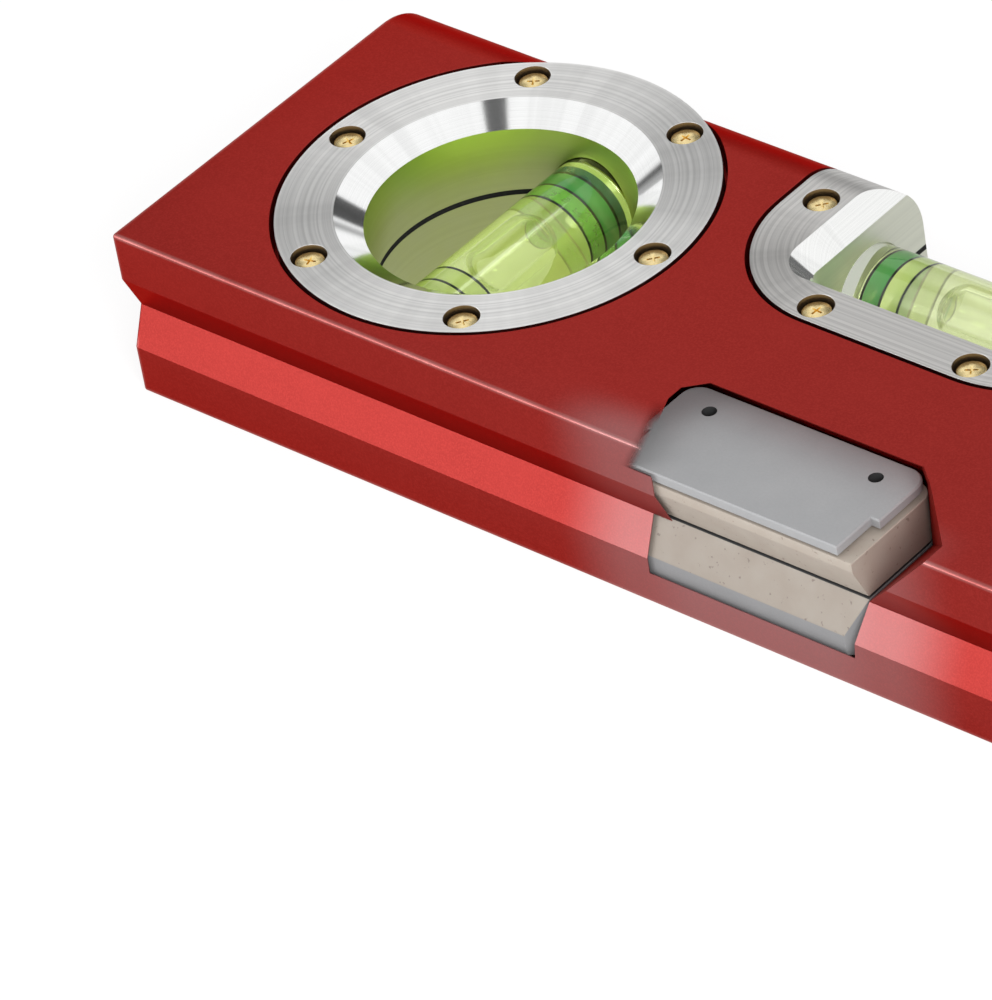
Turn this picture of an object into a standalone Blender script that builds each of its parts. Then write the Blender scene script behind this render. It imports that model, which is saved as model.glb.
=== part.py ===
"""Torpedo spirit level with three vials, lying on one side face. Metres, +Z up, +X along the bar.

The body is one extruded bar with a V groove along its working edge at -Y and a rounded top edge
at +Y. A plumb vial and a 45 degree vial sit in round bezels, and the level vial sits in a bezel
that opens at the top edge. Each bezel is a front and a back half that clamp the vial and a gasket
at the middle of the bar's thickness. A magnet between two pole pieces fills a pocket in the
working edge.
"""

import math

import bmesh
import bpy
from mathutils import Matrix

# Clearances
SEAT_GAP = 0.0003
FLANGE_GAP = 0.0005
GASKET_GAP = 0.00012
VIAL_GAP = 0.0002
HEAD_GAP = 0.00035
MAGNET_POCKET_GAP = 0.0004
OVERRUN = 0.002
WELD = 0.000001

# Screws, and the counterbores that they sit in
HEAD_RADIUS = 0.0016
HEAD_HEIGHT = 0.0011
HEAD_SUNK = 0.0006
SHANK_RADIUS = 0.0009
SHANK_LENGTH = 0.005
SLOT_WIDTH = 0.0005
SLOT_DEPTH = 0.0005
HOLE_SPARE = 0.0005
HOLE_RADIUS = SHANK_RADIUS + SEAT_GAP
COUNTERBORE_RADIUS = HEAD_RADIUS + HEAD_GAP
COUNTERBORE_DEPTH = HEAD_SUNK + HEAD_HEIGHT + SEAT_GAP

# Flange floor under the screw heads, and the gasket between bezel halves
FLANGE_FLOOR = 0.0015
FLANGE_DEPTH = COUNTERBORE_DEPTH + FLANGE_FLOOR
FLOOR_DEPTH = FLANGE_DEPTH + SEAT_GAP
GASKET_THICKNESS = 0.0004

# Round bezels, from the bore outwards
BORE_RADIUS = 0.0144
CONE_WIDTH = 0.00285
CONE_DEPTH = 0.0021
SLEEVE_WALL = 0.0042
BOLTS_FROM_SLEEVE = 0.0023
RIM_FROM_BOLTS = 0.0026
ROUND_SCREWS = 6
SLEEVE_RADIUS = BORE_RADIUS + SLEEVE_WALL
BOLT_CIRCLE_RADIUS = SLEEVE_RADIUS + BOLTS_FROM_SLEEVE
BEZEL_RADIUS = BOLT_CIRCLE_RADIUS + RIM_FROM_BOLTS

# Vials. The round bezels clamp each end by VIAL_BITE, and the level bezel by LEVEL_BITE
VIAL_BITE = 0.0026
LEVEL_BITE = 0.0014
VIAL_RADIUS = 0.0054
TUBE_WALL = 0.001
END_WALL = 0.0031
SPIRIT_CROWN = 0.00015
PLUG_SHOULDER = 0.0003
PLUG_CHAMFER = 0.0004
BUBBLE_RADIUS = 0.0024
BUBBLE_TRAVEL = 0.0081
VIAL_LENGTH = 2 * (BORE_RADIUS + VIAL_BITE)
SEAT_HALF = VIAL_LENGTH / 2 + SEAT_GAP
SPIRIT_RADIUS = VIAL_RADIUS - TUBE_WALL
SPIRIT_END_RADIUS = SPIRIT_RADIUS - SPIRIT_CROWN
SPIRIT_LENGTH = VIAL_LENGTH - 2 * END_WALL
BUBBLE_LENGTH = SPIRIT_LENGTH - 2 * (BUBBLE_TRAVEL + VIAL_GAP)
BUBBLE_RISE = SPIRIT_END_RADIUS - VIAL_GAP - BUBBLE_RADIUS

# Magnet assembly. It sits a little to the left of the bar's middle
MAGNET_X = -0.0007
MAGNET_HALF_WIDTH = 0.0156
MAGNET_DEPTH = 0.0142
MAGNET_LAND = 0.0011
MAGNET_CORNER = 0.0022
MAGNET_SETBACK = 0.0005
POLE_FROM_FACE = 0.0032
PLATE_THICKNESS = 0.0012
PLATE_INSET = 0.0005
PLATE_NOTCH_WIDTH = 0.0011
PLATE_NOTCH_DEPTH = 0.0059
LOWER_CORNER_WIDTH = 0.0023
RIVET_HOLE_RADIUS = 0.0008
RIVET_FROM_NOTCH = 0.0034
RIVET_FROM_BACK = 0.0031
PLATE_HALF_WIDTH = MAGNET_HALF_WIDTH - PLATE_INSET
PLATE_NECK_HALF_WIDTH = PLATE_HALF_WIDTH - PLATE_NOTCH_WIDTH

# Bar. The land under the round bezels is at the working edge, and the one over them at the top edge
LAND_UNDER_BEZEL = 0.0022
LAND_OVER_BEZEL = 0.0018
THICKNESS = 0.0205
TOP_EDGE_RADIUS = 0.0074
GROOVE_DEPTH = 0.0019
GROOVE_LAND = POLE_FROM_FACE + PLATE_THICKNESS + SEAT_GAP + MAGNET_LAND
HEIGHT = LAND_UNDER_BEZEL + 2 * BEZEL_RADIUS + LAND_OVER_BEZEL
MID = THICKNESS / 2

# Level bezel, which is open at the top edge
LEVEL_VIAL_BELOW_TOP = 0.0092
WINDOW_UNDER_VIAL = 0.0041
WINDOW_CORNER = 0.0018
LEVEL_WALL = 0.0028
LEVEL_FRAME_SIDE = 0.0085
LEVEL_FRAME_UNDER = 0.0076
LEVEL_CORNER = 0.0145
LEVEL_CHAMFER_WIDTH = 0.0022
LEVEL_CHAMFER_DEPTH = 0.0024
SIDE_SCREW_INSET = 0.0035
SIDE_SCREW_BELOW_TOP = 0.0094
LOW_SCREW_INSET = 0.01425
LOW_SCREW_RISE = 0.0024
VIAL_Y = HEIGHT / 2 - LEVEL_VIAL_BELOW_TOP
WINDOW_HALF_WIDTH = VIAL_LENGTH / 2 - LEVEL_BITE
WINDOW_NEAR = VIAL_Y - VIAL_RADIUS - WINDOW_UNDER_VIAL
LEVEL_HALF_WIDTH = WINDOW_HALF_WIDTH + LEVEL_FRAME_SIDE
LEVEL_NEAR = WINDOW_NEAR - LEVEL_FRAME_UNDER

# Along the bar
BEZEL_SPACING = 0.0034
END_RIM = 0.008
ROUND_X = LEVEL_HALF_WIDTH + BEZEL_SPACING + BEZEL_RADIUS
ROUND_Y = LAND_UNDER_BEZEL + BEZEL_RADIUS - HEIGHT / 2
LENGTH = 2 * (ROUND_X + BEZEL_RADIUS + END_RIM)

# Facets round each kind of curve
BEZEL_STEPS = 40
HOLE_STEPS = 8
SCREW_STEPS = 8
VIAL_STEPS = 18
CORNER_STEPS = 6
EDGE_STEPS = 8
CROWN_STEPS = 4
BUBBLE_STEPS = 10
DOME_STEPS = 3

# Each vial's centre in X and Y, and the angle of its axis from +X
VIALS = {
    "plumb": (-ROUND_X, ROUND_Y, 90),
    "level": (0, VIAL_Y, 0),
    "angle": (ROUND_X, ROUND_Y, 45),
}

# Colour, roughness and metallic value of each finish
FINISHES = {
    "red anodised": ((0.33, 0.02, 0.02, 1), 0.38, 1.0),
    "machined aluminium": ((0.72, 0.73, 0.74, 1), 0.28, 1.0),
    "polished brass": ((0.78, 0.52, 0.20, 1), 0.25, 1.0),
    "black rubber": ((0.02, 0.02, 0.02, 1), 0.7, 0.0),
    "clear acrylic": ((0.92, 0.95, 0.90, 1), 0.05, 0.0),
    "vial liquid": ((0.55, 0.80, 0.10, 1), 0.05, 0.0),
    "bubble": ((0.95, 1.0, 0.85, 1), 0.02, 0.0),
    "plated magnet": ((0.70, 0.66, 0.58, 1), 0.3, 1.0),
    "pole steel": ((0.42, 0.43, 0.45, 1), 0.45, 1.0),
}


def clear_scene():
    for thing in list(bpy.data.objects):
        bpy.data.objects.remove(thing, do_unlink=True)


def new_collection(name):
    group = bpy.data.collections.new(name)
    bpy.context.scene.collection.children.link(group)
    return group


def finish(obj, kind):
    """Gives the object its own material."""
    colour, roughness, metallic = FINISHES[kind]
    material = bpy.data.materials.new(f"{obj.name} {kind}")
    material.use_nodes = True
    shader = material.node_tree.nodes["Principled BSDF"]
    shader.inputs["Base Color"].default_value = colour
    shader.inputs["Roughness"].default_value = roughness
    shader.inputs["Metallic"].default_value = metallic
    obj.data.materials.clear()
    obj.data.materials.append(material)


def place(name, mesh, group, at=(0, 0, 0), turn=(0, 0, 0), parent=None):
    obj = bpy.data.objects.new(name, mesh)
    group.objects.link(obj)
    obj.location = at
    obj.rotation_euler = turn
    obj.parent = parent
    return obj


def cutter(name, mesh, at=(0, 0, 0), turn=(0, 0, 0), parent=None):
    obj = place(name, mesh, cutters, at, turn, parent)
    obj.hide_render = True
    obj.display_type = "WIRE"
    return obj


def boolean(obj, other, operation="DIFFERENCE"):
    modifier = obj.modifiers.new(f"{operation.lower()} {other.name}", "BOOLEAN")
    modifier.object = other
    modifier.operation = operation
    modifier.solver = "EXACT"


def settled(obj, sharp_angle=30):
    """The object's mesh with its modifiers applied and its sharp edges marked. The object goes."""
    bpy.context.view_layer.update()
    graph = bpy.context.evaluated_depsgraph_get()
    mesh = bpy.data.meshes.new_from_object(obj.evaluated_get(graph))
    mesh.name = obj.name
    bpy.data.objects.remove(obj, do_unlink=True)
    work = bmesh.new()
    work.from_mesh(mesh)
    bmesh.ops.remove_doubles(work, verts=work.verts, dist=WELD)
    bmesh.ops.recalc_face_normals(work, faces=work.faces)
    work.to_mesh(mesh)
    work.free()
    mesh.shade_smooth()
    mesh.set_sharp_from_angle(angle=math.radians(sharp_angle))
    return mesh


def arc(centre, radius, start, end, steps):
    """Points round an arc. Angles are in degrees."""
    points = []
    for step in range(steps + 1):
        angle = math.radians(start + (end - start) * step / steps)
        points.append((centre[0] + radius * math.cos(angle), centre[1] + radius * math.sin(angle)))
    return points


def prism(name, outline, low, high, along="Z"):
    """A flat outline in X and Y extruded along Z, or an outline in Y and Z extruded along X."""
    curve = bpy.data.curves.new(name, "CURVE")
    curve.dimensions = "2D"
    curve.fill_mode = "BOTH"
    curve.extrude = (high - low) / 2
    spline = curve.splines.new("POLY")
    spline.points.add(len(outline) - 1)
    for point, (u, v) in zip(spline.points, outline):
        point.co = (u, v, 0, 1)
    spline.use_cyclic_u = True
    mesh = settled(place(name, curve, cutters))
    mesh.transform(Matrix.Translation((0, 0, (low + high) / 2)))
    if along == "X":
        mesh.transform(Matrix(((0, 0, 1, 0), (1, 0, 0, 0), (0, 1, 0, 0), (0, 0, 0, 1))))
    return mesh


def turned(name, profile, steps, ring=False):
    """A profile of radius and height, turned about Z. Its outer side runs from top to bottom."""
    edges = [(k, k + 1) for k in range(len(profile) - 1)]
    if ring:
        edges.append((len(profile) - 1, 0))
    mesh = bpy.data.meshes.new(name)
    mesh.from_pydata([(radius, 0, height) for radius, height in profile], edges, [])
    obj = place(name, mesh, cutters)
    screw = obj.modifiers.new("turn", "SCREW")
    screw.steps = screw.render_steps = steps
    screw.use_merge_vertices = True
    screw.merge_threshold = WELD
    return settled(obj)


def cylinders(name, places, radius, low, high, steps=HOLE_STEPS):
    """One mesh of upright cylinders, one at each place in X and Y."""
    work = bmesh.new()
    for x, y in places:
        bmesh.ops.create_cone(
            work,
            cap_ends=True,
            segments=steps,
            radius1=radius,
            radius2=radius,
            depth=high - low,
            matrix=Matrix.Translation((x, y, (low + high) / 2)),
        )
    mesh = bpy.data.meshes.new(name)
    work.to_mesh(mesh)
    work.free()
    return mesh


def boxes(name, spans):
    """One mesh of boxes, each given by its lowest and its highest corner."""
    work = bmesh.new()
    for low, high in spans:
        middle = [(a + b) / 2 for a, b in zip(low, high)]
        size = [b - a for a, b in zip(low, high)]
        matrix = Matrix.Translation(middle) @ Matrix.Diagonal((*size, 1))
        bmesh.ops.create_cube(work, size=1, matrix=matrix)
    mesh = bpy.data.meshes.new(name)
    work.to_mesh(mesh)
    work.free()
    return mesh


def u_outline(half_width, near, corner, far):
    """A shape open towards +Y: straight sides that end at far, and rounded corners at near."""
    left = arc((-half_width + corner, near + corner), corner, 180, 270, CORNER_STEPS)
    right = arc((half_width - corner, near + corner), corner, 270, 360, CORNER_STEPS)
    return [(-half_width, far), *left, *right, (half_width, far)]


def loft(name, rings):
    """A solid through rings of points that match one to one, closed by its first and last ring."""
    work = bmesh.new()
    rows = [[work.verts.new(point) for point in ring] for ring in rings]
    for lower, upper in zip(rows, rows[1:]):
        for k in range(len(lower)):
            after = (k + 1) % len(lower)
            work.faces.new((lower[k], lower[after], upper[after], upper[k]))
    work.faces.new(rows[0][::-1])
    work.faces.new(rows[-1])
    bmesh.ops.recalc_face_normals(work, faces=work.faces)
    mesh = bpy.data.meshes.new(name)
    work.to_mesh(mesh)
    work.free()
    return mesh


def bar_outline(groove):
    """The bar's section in Y and Z, with or without the V groove in its working edge."""
    near, far = -HEIGHT / 2, HEIGHT / 2
    inner = far - TOP_EDGE_RADIUS
    lower = arc((inner, TOP_EDGE_RADIUS), TOP_EDGE_RADIUS, 270, 360, EDGE_STEPS)
    upper = arc((inner, THICKNESS - TOP_EDGE_RADIUS), TOP_EDGE_RADIUS, 0, 90, EDGE_STEPS)
    outline = [(near, 0), *lower, *upper, (near, THICKNESS)]
    if groove:
        outline.append((near, THICKNESS - GROOVE_LAND))
        outline.append((near + GROOVE_DEPTH, MID))
        outline.append((near, GROOVE_LAND))
    return outline


def round_screw_places(centre_x):
    step = 360 / ROUND_SCREWS
    return arc((centre_x, ROUND_Y), BOLT_CIRCLE_RADIUS, 0, 360 - step, ROUND_SCREWS - 1)


def level_screw_places():
    side_x, low_x = LEVEL_HALF_WIDTH - SIDE_SCREW_INSET, LEVEL_HALF_WIDTH - LOW_SCREW_INSET
    side_y, low_y = HEIGHT / 2 - SIDE_SCREW_BELOW_TOP, LEVEL_NEAR + LOW_SCREW_RISE
    return [(-side_x, side_y), (-low_x, low_y), (low_x, low_y), (side_x, side_y)]


def level_outline(half_width, near, corner):
    """A level bezel outline that runs past the top edge."""
    return u_outline(half_width, near, corner, HEIGHT / 2 + OVERRUN)


def window_ring(grow, height):
    outline = level_outline(WINDOW_HALF_WIDTH + grow, WINDOW_NEAR - grow, WINDOW_CORNER + grow)
    return [(x, y, height) for x, y in outline]


def window_outline(grow):
    return [(x, y) for x, y, _ in window_ring(grow, 0)]


def screw_cutters():
    """Counterbores and shank holes for both faces, as two cutters that every bezel and the body share."""
    places = [*round_screw_places(-ROUND_X), *level_screw_places(), *round_screw_places(ROUND_X)]
    hole_depth = COUNTERBORE_DEPTH + SEAT_GAP + SHANK_LENGTH + HOLE_SPARE
    made = []
    for name, radius, depth in (
        ("screw_counterbores", COUNTERBORE_RADIUS, COUNTERBORE_DEPTH),
        ("screw_holes", HOLE_RADIUS, hole_depth),
    ):
        mesh = cylinders(name, places, radius, THICKNESS - depth, THICKNESS + OVERRUN)
        both = bmesh.new()
        both.from_mesh(mesh)
        both.from_mesh(cylinders(name, places, radius, -OVERRUN, depth))
        both.to_mesh(mesh)
        both.free()
        made.append(cutter(name, mesh))
    return made


def vial_axis(kind):
    """An empty at a vial's centre whose Z is the vial's axis, and whose -X points up."""
    x, y, angle = VIALS[kind]
    empty = place(f"{kind}_vial_axis", None, part)
    empty.location = (x, y, MID)
    empty.rotation_euler = (0, math.pi / 2, math.radians(angle))
    return empty


def spirit_profile(inset):
    """The vial's bore from bottom to top. It is widest at the middle, where the bubble comes to rest."""
    half = SPIRIT_LENGTH / 2 - inset
    points = []
    for step in range(CROWN_STEPS + 1):
        share = 2 * step / CROWN_STEPS - 1
        points.append((SPIRIT_RADIUS - SPIRIT_CROWN * share**2 - inset, half * share))
    return points


def capsule_profile(radius, length):
    """A round bar with domed ends, from top to bottom."""
    reach = length / 2 - radius
    top = [(r, reach + h) for h, r in arc((0, 0), radius, 0, 90, DOME_STEPS)]
    bottom = [(r, -reach - h) for h, r in arc((0, 0), radius, 90, 0, DOME_STEPS)]
    top[0] = (0, top[0][1])
    bottom[-1] = (0, bottom[-1][1])
    return top + bottom


def tube_mesh():
    """The acrylic tube: closed at its lower end, open at its upper end, with a shoulder for the plug."""
    end = VIAL_LENGTH / 2
    bore = spirit_profile(0)
    seat_radius = SPIRIT_END_RADIUS + PLUG_SHOULDER
    shoulder = bore[-1][1]
    profile = [(0, bore[0][1]), *bore, (seat_radius, shoulder), (seat_radius, end)]
    profile += [(VIAL_RADIUS, end), (VIAL_RADIUS, -end), (0, -end)]
    return turned("tube", profile, VIAL_STEPS)


def plug_mesh():
    top = VIAL_LENGTH / 2
    bottom = SPIRIT_LENGTH / 2 + VIAL_GAP
    radius = SPIRIT_END_RADIUS + PLUG_SHOULDER - VIAL_GAP
    profile = [(0, top), (radius - PLUG_CHAMFER, top), (radius, top - PLUG_CHAMFER)]
    profile += [(radius, bottom), (0, bottom)]
    return turned("plug", profile, VIAL_STEPS)


def spirit_mesh():
    profile = spirit_profile(VIAL_GAP)[::-1]
    closed = [(0, profile[0][1]), *profile, (0, profile[-1][1])]
    return turned("spirit", closed, VIAL_STEPS)


def bubble_track_mesh():
    """A U shaped channel along the top of the liquid, rounded below like the bubble."""
    half = BUBBLE_RADIUS + VIAL_GAP
    outline = u_outline(half, -half, half, SPIRIT_RADIUS + OVERRUN)
    outline = [(-y, x) for x, y in outline]
    return prism("bubble track", outline, -SPIRIT_LENGTH / 2, SPIRIT_LENGTH / 2)


def build_vials():
    """Tube, plug, liquid and bubble of each vial. The liquid has a channel that the bubble slides along."""
    tube, plug, spirit = tube_mesh(), plug_mesh(), spirit_mesh()
    bubble = turned("bubble", capsule_profile(BUBBLE_RADIUS, BUBBLE_LENGTH), BUBBLE_STEPS)
    track = bubble_track_mesh()
    for kind in VIALS:
        axis = vial_axis(kind)
        finish(place(f"{kind}_vial_tube", tube.copy(), part, parent=axis), "clear acrylic")
        finish(place(f"{kind}_vial_plug", plug.copy(), part, parent=axis), "clear acrylic")
        liquid = place(f"{kind}_vial_liquid", spirit.copy(), part, parent=axis)
        boolean(liquid, cutter(f"{kind}_bubble_track", track, at=(-BUBBLE_RISE, 0, 0), parent=axis))
        finish(liquid, "vial liquid")
        rest = (-BUBBLE_RISE, 0, 0)
        finish(place(f"{kind}_vial_bubble", bubble.copy(), part, at=rest, parent=axis), "bubble")


def vial_seats():
    """A cutter along each vial that leaves a cradle for it in its bezel halves and its gasket."""
    seats = {}
    for kind, (x, y, angle) in VIALS.items():
        name = f"{kind}_vial_seat"
        mesh = cylinders(name, [(0, 0)], VIAL_RADIUS + SEAT_GAP, -SEAT_HALF, SEAT_HALF, VIAL_STEPS)
        turn = (0, math.pi / 2, math.radians(angle))
        seats[kind] = cutter(name, mesh, at=(x, y, MID), turn=turn)
    return seats


def round_bezel_mesh():
    """A turned ring: flange, sleeve down to the gasket, bore and polished cone. Z runs from the gasket."""
    foot = GASKET_THICKNESS / 2 + GASKET_GAP
    profile = [
        (BEZEL_RADIUS, MID),
        (BEZEL_RADIUS, MID - FLANGE_DEPTH),
        (SLEEVE_RADIUS, MID - FLANGE_DEPTH),
        (SLEEVE_RADIUS, foot),
        (BORE_RADIUS, foot),
        (BORE_RADIUS, MID - CONE_DEPTH),
        (BORE_RADIUS + CONE_WIDTH, MID),
    ]
    return turned("round bezel", profile, BEZEL_STEPS, ring=True)


def centred_bar():
    """The plain bar about its middle, which trims what shows at the top edge."""
    mesh = prism("bar trim", bar_outline(groove=False), -LENGTH / 2, LENGTH / 2, along="X")
    mesh.transform(Matrix.Translation((0, 0, -MID)))
    return cutter("bar_trim", mesh)


def level_bezel_mesh(trim):
    """A flange and a sleeve round a chamfered window, trimmed to the bar's rounded top edge."""
    foot = GASKET_THICKNESS / 2 + GASKET_GAP
    flange = level_outline(LEVEL_HALF_WIDTH, LEVEL_NEAR, LEVEL_CORNER)
    obj = place("level bezel", prism("flange", flange, MID - FLANGE_DEPTH, MID + OVERRUN), cutters)
    wall = window_outline(LEVEL_WALL)
    sleeve = cutter("sleeve", prism("sleeve", wall, foot, MID - FLANGE_DEPTH / 2))
    chamfer_floor = MID - LEVEL_CHAMFER_DEPTH
    slope = LEVEL_CHAMFER_WIDTH / LEVEL_CHAMFER_DEPTH
    window = cutter(
        "window",
        loft(
            "window",
            [
                window_ring(0, -OVERRUN),
                window_ring(0, chamfer_floor),
                window_ring(LEVEL_CHAMFER_WIDTH + OVERRUN * slope, MID + OVERRUN),
            ],
        ),
    )
    boolean(obj, sleeve, "UNION")
    boolean(obj, trim, "INTERSECT")
    boolean(obj, window)
    mesh = settled(obj)
    for helper in (sleeve, window):
        bpy.data.objects.remove(helper, do_unlink=True)
    return mesh


def level_gasket_mesh(trim):
    half = GASKET_THICKNESS / 2
    obj = place("level gasket", prism("gasket", window_outline(LEVEL_WALL), -half, half), cutters)
    opening = window_outline(0)
    opening[0] = (opening[0][0], opening[0][1] + OVERRUN)
    opening[-1] = (opening[-1][0], opening[-1][1] + OVERRUN)
    window = cutter("gasket window", prism("gasket window", opening, -OVERRUN, OVERRUN))
    boolean(obj, trim, "INTERSECT")
    boolean(obj, window)
    mesh = settled(obj)
    bpy.data.objects.remove(window, do_unlink=True)
    return mesh


def round_gasket_mesh():
    half = GASKET_THICKNESS / 2
    profile = [(SLEEVE_RADIUS, half), (SLEEVE_RADIUS, -half), (BORE_RADIUS, -half), (BORE_RADIUS, half)]
    return turned("round gasket", profile, BEZEL_STEPS, ring=True)


def build_bezels(seats, screw_cuts):
    trim = centred_bar()
    bezels = {"plumb": round_bezel_mesh(), "level": level_bezel_mesh(trim)}
    gaskets = {"plumb": round_gasket_mesh(), "level": level_gasket_mesh(trim)}
    bezels["angle"], gaskets["angle"] = bezels["plumb"], gaskets["plumb"]
    bpy.data.objects.remove(trim, do_unlink=True)
    for kind, (x, y, _) in VIALS.items():
        centre = (x, y, MID) if kind != "level" else (0, 0, MID)
        for side, turn in (("front", 0), ("back", math.pi)):
            name = f"{kind}_bezel_{side}"
            bezel = place(name, bezels[kind].copy(), part, at=centre, turn=(0, turn, 0))
            for cut in (*screw_cuts, seats[kind]):
                boolean(bezel, cut)
            finish(bezel, "machined aluminium")
        gasket = place(f"{kind}_gasket", gaskets[kind].copy(), part, at=centre)
        boolean(gasket, seats[kind])
        finish(gasket, "black rubber")


def screw_mesh():
    """A recessed cheese head screw. Z is zero at the face of the bezel that it holds."""
    under = -COUNTERBORE_DEPTH + SEAT_GAP
    top = under + HEAD_HEIGHT
    tip = under - SHANK_LENGTH
    profile = [
        (0, top),
        (HEAD_RADIUS, top),
        (HEAD_RADIUS, under),
        (SHANK_RADIUS, under),
        (SHANK_RADIUS, tip),
        (0, tip),
    ]
    obj = place("screw", turned("screw", profile, SCREW_STEPS), cutters)
    reach, half = HEAD_RADIUS + OVERRUN, SLOT_WIDTH / 2
    span = ((-reach, -half, top - SLOT_DEPTH), (reach, half, top + OVERRUN))
    slot = cutter("slot", boxes("slot", [span]))
    boolean(obj, slot)
    mesh = settled(obj)
    bpy.data.objects.remove(slot, do_unlink=True)
    return mesh


def build_screws():
    mesh = screw_mesh()
    patterns = {
        "plumb": round_screw_places(-ROUND_X),
        "level": level_screw_places(),
        "angle": round_screw_places(ROUND_X),
    }
    for kind, places in patterns.items():
        for side, height, turn in (("front", THICKNESS, 0), ("back", 0, math.pi)):
            for number, (x, y) in enumerate(places, 1):
                name = f"{kind}_screw_{side}_{number}"
                screw = place(name, mesh.copy(), part, at=(x, y, height), turn=(0, turn, 0))
                finish(screw, "polished brass")


def magnet_outline(half_width, back, shoulder, front=()):
    """From above: rounded at the back, straight sides to the shoulder, then in by the front points."""
    sides = [(x, -y) for x, y in u_outline(half_width, -back, MAGNET_CORNER, -shoulder)]
    outline = [*sides, *front, *[(-x, y) for x, y in reversed(front)]]
    return [(MAGNET_X + x, y) for x, y in outline]


def build_magnet():
    """Top pole plate, plated magnet and lower pole, whose fronts follow the groove of the working edge."""
    edge = -HEIGHT / 2
    near, back = edge + MAGNET_SETBACK, edge + MAGNET_DEPTH
    apex, before, behind = near + GROOVE_DEPTH, edge - OVERRUN, back + OVERRUN
    shoulder = edge + PLATE_NOTCH_DEPTH
    neck, half = PLATE_NECK_HALF_WIDTH, MAGNET_HALF_WIDTH
    plate_top = THICKNESS - POLE_FROM_FACE
    plate_bottom = plate_top - PLATE_THICKNESS
    magnet_top = plate_bottom - SEAT_GAP
    magnet_bottom = MID + SEAT_GAP / 2
    lower_top = MID - SEAT_GAP / 2
    lower_corner = (half - 2 * LOWER_CORNER_WIDTH, apex - 2 * GROOVE_DEPTH)
    pieces = {
        "magnet_top_pole": (
            "pole steel",
            [(near, plate_bottom), (near, plate_top), (behind, plate_top), (behind, plate_bottom)],
            magnet_outline(PLATE_HALF_WIDTH, back, shoulder, [(neck, shoulder), (neck, before)]),
        ),
        "magnet_block": (
            "plated magnet",
            [
                (near, magnet_top),
                (near, THICKNESS - GROOVE_LAND),
                (apex, magnet_bottom),
                (behind, magnet_bottom),
                (behind, magnet_top),
            ],
            magnet_outline(half, back, before),
        ),
        "magnet_lower_pole": (
            "pole steel",
            [
                (apex, lower_top),
                (near, GROOVE_LAND),
                (near, POLE_FROM_FACE),
                (behind, POLE_FROM_FACE),
                (behind, lower_top),
            ],
            magnet_outline(half, back, apex, [lower_corner]),
        ),
    }
    reach = half + OVERRUN
    for name, (kind, section, outline) in pieces.items():
        piece = place(name, prism(name, section, MAGNET_X - reach, MAGNET_X + reach, along="X"), part)
        plan = prism(f"{name} plan", outline, -OVERRUN, THICKNESS + OVERRUN)
        boolean(piece, cutter(f"{name}_plan", plan), "INTERSECT")
        if name == "magnet_top_pole":
            hole_x, hole_y = neck - RIVET_FROM_NOTCH, back - RIVET_FROM_BACK
            spots = [(MAGNET_X - hole_x, hole_y), (MAGNET_X + hole_x, hole_y)]
            holes = cylinders("rivet_holes", spots, RIVET_HOLE_RADIUS, magnet_top, plate_top + OVERRUN)
            boolean(piece, cutter("rivet_holes", holes))
        finish(piece, kind)


def magnet_pocket():
    edge, floor = -HEIGHT / 2, POLE_FROM_FACE - MAGNET_POCKET_GAP
    half, back = MAGNET_HALF_WIDTH + MAGNET_POCKET_GAP, edge + MAGNET_DEPTH + MAGNET_POCKET_GAP
    outline = magnet_outline(half, back, edge - OVERRUN)
    return cutter("magnet_pocket", prism("magnet pocket", outline, floor, THICKNESS - floor))


def round_recess(name, x):
    """A through bore with a flange pocket at each face."""
    pocket, bore = BEZEL_RADIUS + FLANGE_GAP, SLEEVE_RADIUS + SEAT_GAP
    profile = [
        (0, MID + OVERRUN),
        (pocket, MID + OVERRUN),
        (pocket, MID - FLOOR_DEPTH),
        (bore, MID - FLOOR_DEPTH),
        (bore, FLOOR_DEPTH - MID),
        (pocket, FLOOR_DEPTH - MID),
        (pocket, -MID - OVERRUN),
        (0, -MID - OVERRUN),
    ]
    return cutter(name, turned(name, profile, BEZEL_STEPS), at=(x, ROUND_Y, MID))


def level_recess():
    """A cut through the top edge with a flange pocket at each face, as three cutters."""
    pocket = level_outline(
        LEVEL_HALF_WIDTH + FLANGE_GAP, LEVEL_NEAR - FLANGE_GAP, LEVEL_CORNER + FLANGE_GAP
    )
    through = window_outline(LEVEL_WALL + SEAT_GAP)
    spans = {
        "level_recess_front": (pocket, THICKNESS - FLOOR_DEPTH, THICKNESS + OVERRUN),
        "level_recess_back": (pocket, -OVERRUN, FLOOR_DEPTH),
        "level_recess_through": (through, -OVERRUN, THICKNESS + OVERRUN),
    }
    return [cutter(name, prism(name, *span)) for name, span in spans.items()]


def build_body(screw_holes):
    mesh = prism("body", bar_outline(groove=True), -LENGTH / 2, LENGTH / 2, along="X")
    body = place("body", mesh, part)
    cuts = [round_recess("plumb_recess", -ROUND_X), round_recess("angle_recess", ROUND_X)]
    cuts += [*level_recess(), magnet_pocket(), screw_holes]
    for cut in cuts:
        boolean(body, cut)
    finish(body, "red anodised")


clear_scene()
part = new_collection("Spirit level")
cutters = new_collection("Cutters")
counterbores, shank_holes = screw_cutters()
build_body(shank_holes)
build_bezels(vial_seats(), (counterbores, shank_holes))
build_vials()
build_screws()
build_magnet()
bpy.context.view_layer.update()
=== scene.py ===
"""Looks for the torpedo spirit level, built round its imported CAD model. Metres, row frame."""

import math

import bmesh
import bpy
from mathutils import Matrix, Vector


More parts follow.
